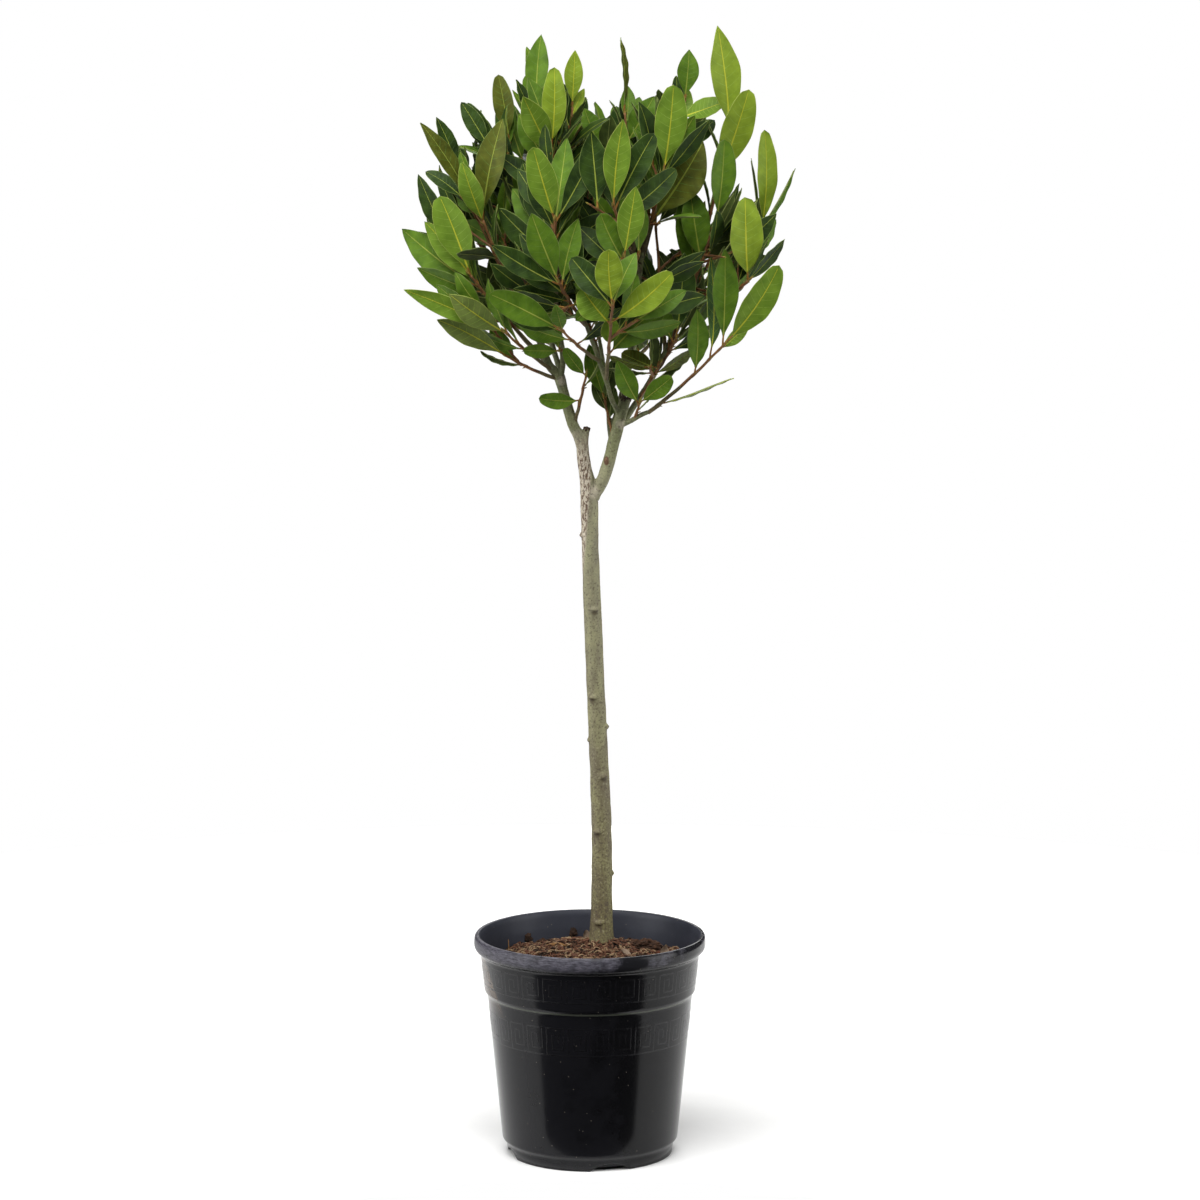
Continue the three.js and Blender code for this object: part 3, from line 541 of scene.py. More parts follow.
def segment_distance(p, a, b):
    ab = b - a
    t = np.clip(((p - a) * ab).sum(-1) / (ab * ab).sum(-1), 0, 1)
    return np.linalg.norm(p - (a + ab * t[..., None]), axis=-1)


class Grown:
    """The wood, as arrays, and the leaves that have grown so far."""

    def __init__(self):
        self.a, self.b, self.r, self.owner = [], [], [], []
        self.leaves = []
        self.wood = None
        self.clear = LEAF["clear"]

    def add_wood(self, a, b, r, owner):
        self.a.append(a)
        self.b.append(b)
        self.r.append(r)
        self.owner.append(owner)
        self.wood = None

    def wood_arrays(self):
        if self.wood is None:
            self.wood = (np.array(self.a), np.array(self.b), np.array(self.r), np.array(self.owner))
        return self.wood

    def touches_wood(self, leaf, owner):
        a, b, r, own = self.wood_arrays()
        keep = segment_distance(leaf.middle, a, b) <= leaf.length / 2 + 12
        if not keep.any():
            return False
        a, b, r, own = a[keep], b[keep], r[keep], own[keep] == owner
        cut = crosses(in_frames(a, *frame_of(leaf)), in_frames(b, *frame_of(leaf)), leaf.width)
        if (cut & ~own).any():
            return True
        far = np.concatenate([leaf.edges.reshape(-1, 3), leaf.rib])
        close = segment_distance(far[:, None], a[None], b[None]) < r[None] + LEAF["clear_of_wood"]
        at_root = np.linalg.norm(far - leaf.root, axis=1) < leaf.length * LEAF["own_wood"]
        return bool((close & ~(at_root[:, None] & own[None])).any())

    def meets_leaf(self, leaf):
        if not self.leaves:
            return False
        middles = np.array([other.middle for other in self.leaves])
        reach = (leaf.length + np.array([other.length for other in self.leaves])) / 2 + 4
        near = np.nonzero(np.linalg.norm(middles - leaf.middle, axis=1) <= reach)[0]
        if len(near) == 0:
            return False
        others = [self.leaves[i] for i in near]
        stack = [np.array([getattr(o, k) for o in others])[:, None, None] for k in
                 ("root", "u", "v", "n", "length", "bow", "width")]
        if edges_meet(leaf.edges[None], self.clear, *stack):
            return True
        edges = np.array([o.edges for o in others])
        return edges_meet(edges, self.clear, *frame_of(leaf), leaf.width)

    def fits(self, leaf, owner):
        return not self.touches_wood(leaf, owner) and not self.meets_leaf(leaf)


# Openings in the head, seen from the front: how far right, how high, and the radius.
SKY = [(8, 887, 23), (45, 889, 21), (93, 811, 7.5), (90, 788, 7), (56, 752, 12), (-13, 669, 11),
       (-9, 642, 8), (120, 802, 6.5), (-58, 826, 6), (-84, 741, 5)]


def in_sky(points):
    """Whether any of the points is in front of or behind an opening."""
    return any(np.any(np.hypot(points[..., 0] - x, points[..., 2] - z) < r) for x, z, r in SKY)


def inside_head(p, within=1.0):
    q = (p - HEAD_MIDDLE) / (HEAD_REACH * within)
    return q @ q <= 1


# %% [markdown]
# Growth goes in rounds. All wood comes first, then the leading leaves of every shoot, then one seeded leaf
# for each twig in turn. A leaf that has no room is turned a few times and then left out, as a shaded bud is.

# %% The rule of growth
def facing(place, front):
    """The way a leaf's upper side looks: outwards and up, and towards the front for a leading leaf."""
    out = unit(place - HEART)
    if front:
        return out * 0.45 + np.array([0.0, -0.9, 0.25])
    return out * 0.9 + np.array([0.0, 0.0, 0.4])


def leading_leaf(twig, row, attempt):
    share, lean, forward, length, width = row[:5]
    turn = row[5] if len(row) > 5 else 0
    side = math.radians(lean)
    front = math.radians(forward + NUDGES[attempt])
    direction = np.array([math.sin(side) * math.cos(front), -math.sin(front),
                          math.cos(side) * math.cos(front)])
    root = twig_place(twig, share)
    return make_leaf(root, direction, facing(root, True), math.radians(turn), length, width, LEAF["bow"])


def keep_first_fit(grown, shoot, tries, make, allowed, rank=None, twig=0):
    """Turns a leaf a few times, keeps the first one that has room, or leaves it out."""
    for attempt in range(tries):
        leaf = make(attempt)
        if allowed(leaf) and grown.fits(leaf, shoot.index):
            leaf.rank = rank
            leaf.twig = twig
            shoot.leaves.append(leaf)
            grown.leaves.append(leaf)
            return


def sideways(along, turn):
    return turned(unit(np.cross(along, AHEAD)), along, turn)


def seeded_leaf(twig, k, start, size, behind, draw):
    """A leaf placed by the rule; on a shoot with leading leaves it grows behind them."""
    share = max(1 - ((k + 0.35) * LEAF["spacing"]) / twig.length, 0.22)
    along = twig_along(twig, share)
    turn = math.radians(start + k * GOLDEN + spread(draw, 25))
    open_by = math.radians(min(30 + 7 * k, 62) + spread(draw, 12))
    side = sideways(along, turn)
    if behind:
        side[1] = abs(side[1])
    root = twig_place(twig, share)
    out = unit(root - HEART)
    direction = along * math.cos(open_by) + side * math.sin(open_by) + out * 0.25 + UP * 0.5
    if behind:
        direction[1] = max(direction[1], 0)
    length = size * (0.74 + 0.34 * draw())
    width = length * (0.32 + 0.08 * draw())
    roll = spread(draw, 0.6)
    bow = 0.02 + 0.04 * draw()
    return make_leaf(root, direction, facing(root, False), roll, length, width, bow)


def grow_side_twigs(shoot):
    stem, draw = shoot.twigs[0], shoot.draw
    sides = []
    count = math.floor(stem.length / TWIG["side_every"] + 0.5)
    for i in range(count):
        share = 0.5 + (0.34 * (i + draw())) / count
        along = twig_along(stem, share)
        turn = math.radians(shoot.start + 70 + i * GOLDEN + spread(draw, 30))
        side = sideways(along, turn)
        root = twig_place(stem, share)
        out = unit(root - HEART)
        reach = TWIG["side_length"] * (0.75 + 0.5 * draw())
        way = unit(along * 0.8 + side * 0.7 + out * 0.3)
        sides.append(make_twig(root, root + way * reach, 0, TWIG["side_foot"]))
    return sides


def add_twig_wood(grown, twig, owner):
    spots = [twig_place(twig, s) for s in (0, 0.25, 0.5, 0.75, 1)]
    for a, b in zip(spots, spots[1:]):
        grown.add_wood(a, b, twig.foot, owner)


def wood_meets(grown, twig, owner):
    a, b, r, own = grown.wood_arrays()
    other = own != owner
    points = np.array([twig_place(twig, s) for s in (0.2, 0.4, 0.6, 0.8, 1)])
    near = segment_distance(points[:, None], a[None], b[None]) < r[None] + twig.foot + 1.5
    return bool((near & other[None]).any())


def grow_head():
    grown = Grown()
    for i, rows in enumerate(LIMBS.values()):
        for low, high in zip(rows, rows[1:]):
            grown.add_wood(np.array(low[:3], float), np.array(high[:3], float), max(low[3], high[3]), -1 - i)
    shoots = []
    for i, (name, row) in enumerate(SHOOTS.items()):
        limb, share, tip, count, size, leading = row
        root = limb_place(LIMBS[limb], share)
        stem = make_twig(root, np.array(tip, float), TWIG["sag"], TWIG["foot"])
        shoot = SimpleNamespace(name=name, index=i, count=count, size=size, leading=leading, twigs=[stem],
                                start=i * 77, draw=seeded(101 + i * 13), leaves=[])
        shoot.sides = grow_side_twigs(shoot)
        add_twig_wood(grown, stem, i)
        shoots.append(shoot)
    for shoot in shoots:
        inside = [t for t in shoot.sides if not wood_meets(grown, t, shoot.index) and inside_head(t.tip)]
        for twig in [t for t in inside if not in_sky(np.array([twig_place(t, 0.5), t.tip]))]:
            shoot.twigs.append(twig)
            add_twig_wood(grown, twig, shoot.index)
    for shoot in shoots:
        for row_index, row in enumerate(shoot.leading):
            keep_first_fit(grown, shoot, TRIES, lambda attempt: leading_leaf(shoot.twigs[0], row, attempt),
                           lambda leaf: True, row_index)
    for k in range(TWIG["most_leaves"]):
        for shoot in shoots:
            for j, twig in enumerate(shoot.twigs):
                if k >= (shoot.count if j == 0 else TWIG["side_leaves"]):
                    continue
                keep_first_fit(
                    grown, shoot, TRIES,
                    lambda attempt: seeded_leaf(twig, k, shoot.start + 50 * j + 25 * attempt, shoot.size,
                                                bool(shoot.leading), shoot.draw),
                    lambda leaf: inside_head(leaf.edges[0][5]) and not in_sky(leaf.edges), twig=j)
    for shoot in shoots:
        leafy = {leaf.twig for leaf in shoot.leaves}
        shoot.twigs = [twig for j, twig in enumerate(shoot.twigs) if j == 0 or j in leafy]
    return shoots, grown


shoots, grown = grow_head()
print("twigs:", sum(len(s.twigs) for s in shoots), "leaves:", len(grown.leaves))

# %% [markdown]
# The solids stop at the bigger twigs. The real head is fuller: each stem and branch carries short spurs whose
# leaves fill the dark inside. They grow here by the same rule, closer together and within the same reach, and
# they stay out of the openings through which the sky shows.

# %% Finer spurs inside the head
FINER = {"every": 15, "reach": 22, "foot": 1.25, "leaves": 5, "size": 56, "clear": 0.7, "inside": 0.84,
         "leaf_inside": 0.9, "front": -66, "lowest": 684, "tries": 4}


def spur_hosts(shoots):
    """All wood that carries spurs: how to find a place on it, its length, and its owner."""
    for i, (name, rows) in enumerate(LIMBS.items()):
        if name != "trunk":
            length = sum(math.dist(a[:3], b[:3]) for a, b in zip(rows, rows[1:]))
            yield (lambda share, rows=rows: limb_place(rows, share)), length, -1 - i
    for shoot in shoots:
        for twig in shoot.twigs:
            yield (lambda share, twig=twig: twig_place(twig, share)), twig.length, shoot.index


def grow_spur(grown, where, share, host, index, draw):
    """One short spur and its leaves, or nothing where there is no room."""
    root = where(share)
    along = unit(where(min(share + 0.02, 1)) - where(share - 0.02))
    side = sideways(along, 2 * math.pi * draw())
    out = unit(root - HEART)
    way = unit(along * 0.5 + side * 0.8 + out * 0.3)
    tip = root + way * FINER["reach"] * (0.7 + 0.6 * draw())
    spur = make_twig(root, tip, 0, FINER["foot"])
    start = 360 * draw()
    in_opening = in_sky(np.array([twig_place(spur, 0.5), spur.tip]))
    crowded = wood_meets(grown, spur, host) or not inside_head(spur.tip, FINER["inside"])
    if root[2] < FINER["lowest"] or crowded or in_opening:
        return None
    shoot = SimpleNamespace(name="spur", index=index, twigs=[spur], leaves=[])
    wood = (list(grown.a), list(grown.b), list(grown.r), list(grown.owner))
    add_twig_wood(grown, spur, index)

    def allowed(leaf):
        end = leaf.edges[0][5]
        end_in = inside_head(end, FINER["leaf_inside"]) and end[1] > FINER["front"]
        return end_in and not in_sky(leaf.edges)

    for k in range(FINER["leaves"]):
        keep_first_fit(
            grown, shoot, FINER["tries"],
            lambda attempt: seeded_leaf(spur, k, start + 40 * attempt, FINER["size"], False, draw), allowed)
    if shoot.leaves:
        return shoot
    grown.a, grown.b, grown.r, grown.owner = wood
    grown.wood = None
    return None


def grow_spurs(shoots, grown):
    draw = seeded(5501)
    grown.clear = FINER["clear"]
    spurs = []
    for where, length, host in list(spur_hosts(shoots)):
        count = round(length / FINER["every"])
        for n in range(count):
            share = 0.2 + 0.76 * (n + draw()) / count
            spur = grow_spur(grown, where, share, host, 1000 + len(spurs), draw)
            if spur:
                spurs.append(spur)
    return spurs


spurs = grow_spurs(shoots, grown)
print("spurs:", len(spurs), "leaves with theirs:", len(grown.leaves))

# %% [markdown]
# ## Leaves
# A bay leaf is a tough, pointed oval with a wavy, slightly pale rim, a strong yellow midrib and fine side
# veins. Its upper side is green and waxy and its underside is pale and dull. A flat card with a picture would
# be quicker, but it looks like paper from the side. So each leaf is shaped as a thin curved sheet: folded
# along its midrib, waved at the rim and quilted between its veins, with its own underside, rim and stalk.

# %% The shape of one leaf
BLADE = {"thickness": 0.32, "base_half": 0.55, "wedge": 0.95, "rim": 0.26, "quilt": 0.17, "vein_lift": 0.1}
ROWS, SPUR_ROWS = 26, 14
ACROSS = np.array([-1, -0.82, -0.56, -0.28, 0, 0.28, 0.56, 0.82, 1])
SPUR_ACROSS = np.array([-1, -0.6, 0, 0.6, 1])
VEINS = 8
shape_draw = seeded(4177)


def give_character(leaf):
    """The small things that make each leaf its own: fold, waves, curl and a sideways sweep."""
    leaf.blunt = 0.52 + 0.46 * shape_draw()
    leaf.widest = 0.98 + 0.17 * shape_draw()
    leaf.fold = 0.12 + 0.3 * shape_draw()
    leaf.wave = (0.12 + 0.42 * shape_draw()) * leaf.width / 20
    leaf.waves = 3.2 + 2.6 * shape_draw()
    leaf.phase = 6.28 * shape_draw()
    leaf.curl = spread(shape_draw, 0.05) * leaf.length - 0.015 * leaf.length
    leaf.sweep = spread(shape_draw, 0.035) * leaf.length
    leaf.twist = spread(shape_draw, 0.22)
    leaf.tone_draw = shape_draw()


def outline(leaf, share):
    """Half the width at a share of the length: a wedge at the stalk, and a blunt or a pointed tip."""
    t = np.clip((np.asarray(share, float) - LEAF["petiole"]) / (1 - LEAF["petiole"]), 0, 1)
    power = BLADE["wedge"] + (leaf.blunt - BLADE["wedge"]) * t
    return 0.5 * leaf.width * np.sin(np.pi * t ** leaf.widest) ** power


def leaf_sheet(leaf, share, across, lift=0.0):
    """Points of the blade; across runs from -1 at one rim to 1 at the other."""
    share, across = np.broadcast_arrays(np.asarray(share, float), np.asarray(across, float))
    half = np.maximum(outline(leaf, share), BLADE["base_half"] * (1.05 - share))
    side = np.abs(across)
    y = across * half
    z = 4 * leaf.bow * share * (1 - share)
    z = z + leaf.fold * np.abs(y) * (1 - 0.5 * share)
    swing = 2 * np.pi * leaf.waves * share + leaf.phase + 1.9 * (across > 0)
    z = z + leaf.wave * side ** 2.2 * np.sin(swing)
    z = z - leaf.curl * (np.maximum(share - 0.55, 0) / 0.45) ** 2
    z = z + leaf.twist * y * (share - 0.3)
    between = np.cos(2 * np.pi * (VEINS * (share - 0.16 - 0.1 * side) / 0.72))
    z = z - BLADE["quilt"] * between * np.sin(np.pi * np.clip(side, 0, 1)) * (half > 2.5)
    y = y + leaf.sweep * 4 * share * (1 - share)
    return (leaf.root + leaf.u * (share * leaf.length)[..., None] + leaf.v * y[..., None]
            + leaf.n * (z + lift)[..., None])


def grid_faces(rows, columns, flip=False):
    """Quads between neighbouring points of a grid."""
    i, j = np.meshgrid(np.arange(rows - 1), np.arange(columns - 1), indexing="ij")
    a = (i * columns + j).ravel()
    quads = np.stack([a, a + columns, a + columns + 1, a + 1], axis=1)
    return quads[:, ::-1] if flip else quads


def ring_walls(rings, sides, flip=False):
    """Quads between closed rings of points, one ring after another."""
    i, j = np.meshgrid(np.arange(rings - 1), np.arange(sides), indexing="ij")
    a, b = (i * sides + j).ravel(), (i * sides + (j + 1) % sides).ravel()
    quads = np.stack([a, b, b + sides, a + sides], axis=1)
    return quads[:, [0, 3, 2, 1]] if flip else quads


def tube(points, radii, sides):
    """A round tube along points, closed at both ends, with its section carried along without twist."""
    points = np.asarray(points, float)
    along = np.gradient(points, axis=0)
    along /= np.linalg.norm(along, axis=1)[:, None]
    right = unit(np.cross(along[0], AHEAD if abs(along[0][1]) < 0.9 else UP))
    turn = 2 * np.pi * np.arange(sides) / sides
    rings = []
    for p, way, r in zip(points, along, radii):
        right = unit(right - way * (right @ way))
        other = np.cross(way, right)
        rings.append(p + r * (np.cos(turn)[:, None] * right + np.sin(turn)[:, None] * other))
    last = (len(points) - 1) * sides
    ends = [list(range(sides))[::-1], [last + k for k in range(sides)]]
    return np.concatenate(rings), ring_walls(len(points), sides), ends


def shares_of(rows):
    return LEAF["petiole"] + (1 - LEAF["petiole"]) * (np.linspace(0, 1, rows + 1) ** 0.96)


every_shoot = shoots + spurs
for shoot in every_shoot:
    for leaf in shoot.leaves:
        give_character(leaf)
        leaf.shares = shares_of(SPUR_ROWS if shoot.name == "spur" else ROWS)
        leaf.across = SPUR_ACROSS if shoot.name == "spur" else ACROSS
print("each blade has", ROWS * (len(ACROSS) - 1), "quads on each side")

# %% [markdown]
# New leaves at the front are yellow-green, older ones deep green, and a few are olive, bluish or pale. The
# deep green is darker than an old leaf's own green: it is partly painted shade, and it goes most to the
# leaves inside the head, where the shade falls. Each shoot gets its own greens: one letter for each leading
# leaf, in capitals where its tip is rounded, and after the bar the letters its other leaves draw from. The
# colours are plain, so they keep their place however the model is exported.

# %% Greens for each shoot
GREENS = {
    "left_top": "Yf|ggd", "left_peak": "ggd|gdg", "left_peak_inner": "yy|gdd", "left_front": "FDg|dgd",
    "left_low_front": "gddg|ddg", "left_belly": "Gg|ddg", "left_shoulder": "of|gdg", "left_crest": "OGD|gdd",
    "left_fringe": "odd|gdd", "left_side": "Ffg|gdg", "left_edge": "dd|ggd", "low_left": "pg|gg",
    "low_left_upper": "pf|gg", "centre_top": "fDDd|dgd", "centre_middle": "fGd|dg",
    "centre_peak": "gd|gdd", "right_crown": "Fdo|gdg",
    "right_peak": "gFF|ggd", "needle": "og|dgg", "right_top": "yYg|ggf", "right_fringe": "Ydg|gdg",
    "right_upper": "GgG|gdd", "right_side": "Yd|ggd", "right_belly": "dg|ddg", "low_inner_right": "O|odo",
    "low_right": "FgbgpF|go", "centre_front": "YYFGFD|dgg", "low_centre": "GG|g", "spur_left": "GG|g",
    # The heart and the inner spurs draw mostly deep greens, partly as painted shade inside the head.
    "spur_right": "gG|g", "spur_centre": "g|gd", "heart_left": "|ddg", "heart": "|ddg",
    "heart_right": "|dgd", "spur": "|ddgdgd",
}
BEHIND = "|gdgfo"
TONES = {"y": "young", "f": "fresh", "g": "green", "d": "deep", "o": "olive", "b": "bluish", "p": "pale"}
ROUND_TIP = 0.42


def dress(shoot, leaf):
    """Gives a leaf its green, and a rounded tip where its letter is a capital."""
    leading, others = GREENS.get(shoot.name, BEHIND).split("|")
    if leaf.rank is not None and leaf.rank < len(leading):
        letter = leading[leaf.rank]
        leaf.blunt = ROUND_TIP if letter.isupper() else max(leaf.blunt, 0.86)
        leaf.tone = TONES[letter.lower()]
    else:
        leaf.tone = TONES[others[int(leaf.tone_draw * len(others))]]


for shoot in every_shoot:
    for leaf in shoot.leaves:
        dress(shoot, leaf)
print({t: sum(leaf.tone == t for leaf in grown.leaves) for t in TONES.values()})

# %% [markdown]
# Now the parts of each leaf go onto the piles. The rim and ribs stand a little proud of the sheet, as they do
# on the plant, and that also keeps them from sharing a surface with it.

# %% Pile up the leaves
piles = {}


def pile(name):
    return piles.setdefault(name, Pile())


def strip(leaf, name, shares, lines, flip=False):
    """A band of quads along a leaf; each line is (how far across, lift above the sheet)."""
    bands = [leaf_sheet(leaf, shares, across, lift) for across, lift in lines]
    pile(name).add(np.stack(bands, axis=1), grid_faces(len(shares), len(lines), flip))


def is_light(leaf):
    return leaf.tone in ("young", "fresh", "bluish", "pale")


def add_blade(leaf):
    upper = leaf_sheet(leaf, leaf.shares[:, None], leaf.across[None])
    lower = leaf_sheet(leaf, leaf.shares[:, None], leaf.across[None], -BLADE["thickness"])
    quads = grid_faces(len(leaf.shares), len(leaf.across))
    pile("blades_" + leaf.tone).add(upper, quads)
    pile("undersides_pale" if is_light(leaf) else "undersides_olive").add(lower, quads[:, ::-1])


def add_rim(leaf):
    """A thin pale band that wraps both edges of the blade."""
    half = np.maximum(outline(leaf, leaf.shares), 0.3)
    inner = 1 - np.minimum(BLADE["rim"] / half, 0.8)
    outer = 1 + 0.06 / half
    under = -BLADE["thickness"]
    for side in (-1, 1):
        lines = [(side * inner, 0.05), (side * outer, 0), (side * outer, under),
                 (side * inner, under - 0.05)]
        strip(leaf, "rims_light" if is_light(leaf) else "rims_dark", leaf.shares, lines, side < 0)


def add_midrib(leaf):
    """A rib that tapers to the tip, raised above the blade and more strongly below it."""
    shares = leaf.shares[:-1]
    half = np.maximum(outline(leaf, shares), BLADE["base_half"])
    rib = (0.66 - 0.52 * shares) * leaf.width / 22 / half
    under = -BLADE["thickness"] - 0.03
    upper_name = "midribs_light" if is_light(leaf) else "midribs_dark"
    strip(leaf, upper_name, shares, [(-rib, 0.03), (0, 0.3), (rib, 0.03)])
    strip(leaf, "under_ribs", shares, [(-rib, under), (0, under - 0.55), (rib, under)], True)


VEIN_PILES = {"green": "veins_green", "olive": "veins_green", "deep": "veins_deep"}


def add_veins(leaf):
    """Side veins that leave the midrib at a slant and bend forwards near the rim."""
    name = VEIN_PILES.get(leaf.tone, "veins_light")
    across = np.array([0.04, 0.34, 0.62, 0.88])
    for side in (-1, 1):
        for k in range(VEINS):
            start = 0.15 + 0.72 * (k + 0.25 * (side > 0)) / VEINS
            shares = start + 0.1 * across ** 1.3
            thick = (0.22 - 0.16 * across) / leaf.length
            bands = [leaf_sheet(leaf, shares - thick, side * across, BLADE["vein_lift"]),
                     leaf_sheet(leaf, shares + thick, side * across, BLADE["vein_lift"])]
            pile(name).add(np.stack(bands, axis=1), grid_faces(len(across), 2, side > 0))


def add_petiole(leaf):
    """The stalk, from inside the twig to where the blade begins."""
    shares = np.linspace(-0.012, LEAF["petiole"] + 0.02, 6)
    sweep = leaf.sweep * 4 * shares * (1 - shares)
    spots = on_leaf(leaf, shares, sweep) - leaf.n * 0.1
    bend = np.sin(np.pi * np.clip(shares / LEAF["petiole"], 0, 1)) * 0.35
    spots = spots - leaf.n * bend[:, None]
    radii = np.linspace(0.95, 0.62, 6) * (0.75 + 0.25 * leaf.width / 22)
    pile("leaf_stalks").add(*tube(spots, radii, 6)[:2])


for shoot in every_shoot:
    for leaf in shoot.leaves:
        add_blade(leaf)
        add_rim(leaf)
        add_midrib(leaf)
        add_petiole(leaf)
        if shoot.name != "spur" and leaf.length > 26:
            add_veins(leaf)
print("piles:", {name: len(p.faces) for name, p in piles.items()})

# %% [markdown]
# ## Twigs and buds
# Young bay wood is smooth: grey-brown where it is a year old, red-brown towards the tip, a little thicker
# at each leaf. Every twig ends in a pointed bud. A swept tube with a knuckle at each leaf root gives that.

# %% Pile up twigs and buds
OLD_WOOD = 0.42
TWIG_SIDES = 8
SHORT_TWIG = 45
LONG_RADII, SHORT_RADII = (1.75, 0.85), (1.2, 0.7)
KNUCKLE = {"rise": 0.3, "reach": 1.8}
STEM_BUD, SIDE_BUD, LEAF_BUD = 6.5, 4.5, 3.0


def twig_run(twig, low, high, steps, knuckles):
    """Points and radii along a stretch of twig, thicker at each leaf and never quite straight."""
    shares = np.linspace(low, high, steps)
    points = np.array([twig_place(twig, s) for s in shares])
    foot, end = SHORT_RADII if twig.length < SHORT_TWIG else LONG_RADII
    radii = foot + (end - foot) * shares
    for s in knuckles:
        radii = radii + KNUCKLE["rise"] * np.exp(-((shares - s) * twig.length / KNUCKLE["reach"]) ** 2)
    points = points + 0.25 * np.stack([np.sin(shares * 21), np.cos(shares * 17), 0 * shares], axis=1)
    return points, radii


def add_twig(shoot, twig, is_stem):
    roots = [leaf.root for leaf in shoot.leaves]
    lengths = [float((r - twig.root) @ (twig.tip - twig.root)) / twig.length ** 2 for r in roots]
    spots = [s for s, r in zip(lengths, roots)
             if 0 < s < 1.02 and np.linalg.norm(twig_place(twig, min(s, 1)) - r) < 3]
    steps = max(int(twig.length / 2.2), 6)
    if is_stem and twig.length > SHORT_TWIG:
        low_steps = max(int(steps * OLD_WOOD), 4)
        old = twig_run(twig, -0.02, OLD_WOOD, low_steps, spots)
        young = twig_run(twig, OLD_WOOD - 0.01, 1, steps - low_steps + 1, spots)
        pile("twigs_old").add(*tube(*old, TWIG_SIDES))
    else:
        young = twig_run(twig, -0.02, 1, steps, spots)
    pile("twigs_young").add(*tube(*young, TWIG_SIDES))
    add_bud(twig.tip, twig_along(twig, 1), STEM_BUD if is_stem else SIDE_BUD)


def add_bud(place, way, length):
    """A slim pointed bud."""
    shares = np.array([-0.1, 0.2, 0.5, 0.8, 1.0])
    width = np.array([0.1, 0.19, 0.18, 0.09, 0.012])
    points, walls, ends = tube(place + way * (shares * length)[:, None], width * length, 5)
    pile("buds").add(points, walls, [ends[1]])


for shoot in every_shoot:
    for j, twig in enumerate(shoot.twigs):
        add_twig(shoot, twig, j == 0 and shoot.name != "spur")
    for leaf in shoot.leaves:
        add_bud(leaf.root + leaf.n * 0.8, unit(leaf.u + leaf.n * 0.7), LEAF_BUD)
print("twig faces:", len(piles["twigs_old"].faces), len(piles["twigs_young"].faces))

# %% [markdown]
# ## Finishes of the leaves
# The upper side of a bay leaf has a thin wax film: a satin gloss with a broad highlight. The film is clear,
# so the green under it shows, with slow drifts from lighter to darker over about a centimetre. The underside
# has no film and looks pale and matt.

# %% Materials of leaves and twigs
def plant_finish(name, dark, light, roughness, relief, drift=9):
    """A living surface: two close colours that drift over so many millimetres, and a fine grain."""
    material, tree, shader, places = new_finish(name, IOR=1.45, Specular_IOR_Level=0.17)
    clouds = cloud(tree, places["Object"], drift, 3.0, 0.55)
    tone = blend(tree, ramp(tree, clouds, 0.32, 0.68), dark, light)
    gloss = ramp(tree, clouds, start=roughness - 0.06, end=roughness + 0.08)
    wire(tree, shader, tone, gloss, cloud(tree, places["Object"], 1.2), relief)
    return material


# The deep pair is an old leaf's dark green, made darker still as painted shade for the inside of the head.
BLADE_COLOURS = {
    "young": ("#6C8222", "#81972C"), "fresh": ("#5E7B24", "#718F2D"), "green": ("#466319", "#5B7A20"),
    "deep": ("#1F3010", "#344A16"), "olive": ("#434814", "#5D6420"), "bluish": ("#3F5A30", "#4F6E3A"),
    "pale": ("#5C6B33", "#71803F"),
}
# Each pile's finish: its name, its dark and light colours, roughness, relief and, for some, the drift.
PLANT_FINISHES = {
    "undersides_pale": ("matt_leaf_underside", "#5A7038", "#74894C", 0.62, 0.5),
    "undersides_olive": ("matt_old_leaf_underside", "#3D4B22", "#566530", 0.62, 0.5),
    "rims_light": ("rim_of_a_young_leaf", "#8C9A42", "#9DA952", 0.5, 0.2),
    "rims_dark": ("rim_of_an_old_leaf", "#5C6C34", "#6E7E40", 0.5, 0.2),
    "midribs_light": ("yellow_midrib", "#A8AA2C", "#BCBC3C", 0.45, 0.2),
    "midribs_dark": ("midrib_of_an_old_leaf", "#7F8C36", "#96A044", 0.45, 0.2),
    "under_ribs": ("pale_under_rib", "#8C9658", "#A0A868", 0.5, 0.2),
    "veins_light": ("side_vein_of_a_young_leaf", "#809A3C", "#8FA948", 0.45, 0.2),
    "veins_green": ("side_vein_of_a_green_leaf", "#54702E", "#638038", 0.45, 0.2),
    "veins_deep": ("side_vein_of_an_old_leaf", "#344826", "#42592E", 0.45, 0.2),
    "leaf_stalks": ("red_leaf_stalk", "#80502A", "#9A7638", 0.45, 0.2, 6),
    "twigs_young": ("brown_young_bark", "#63452C", "#86603C", 0.5, 0.5, 7),
    "twigs_old": ("grey_brown_smooth_bark", "#585038", "#766B4C", 0.6, 0.8, 5),
    "buds": ("red_green_bud", "#6E5028", "#86803A", 0.5, 0.3, 3),
}
finishes = {name: plant_finish(*row) for name, row in PLANT_FINISHES.items()}
for tone, (dark, light) in BLADE_COLOURS.items():
    finishes["blades_" + tone] = plant_finish("waxy_leaf_" + tone, dark, light, 0.5, 0.35)
leaf_nodes = [n for n in NODES if n.startswith("leaves_")]
for name, gathered in piles.items():
    make_piece(name, gathered, finishes[name], leaf_nodes)

# %% [markdown]
# ## Stem and boughs
# The stem is a few years old: smooth grey-green bark with brown specks, a low knuckle wherever a leaf once
# sat, and swellings where boughs leave it. Tubes pushed into each other would show a hard line at each fork,
# but a voxel remesh skins them over as one piece of wood, with a web in each fork as on a real tree. The
# relief is then pushed into that skin point by point.

# %% One skin of wood over the limbs
SKIN = 0.72
LIMB_SIDES = 20
SLIMMER = {"trunk": 0.985, "branch": 0.92}
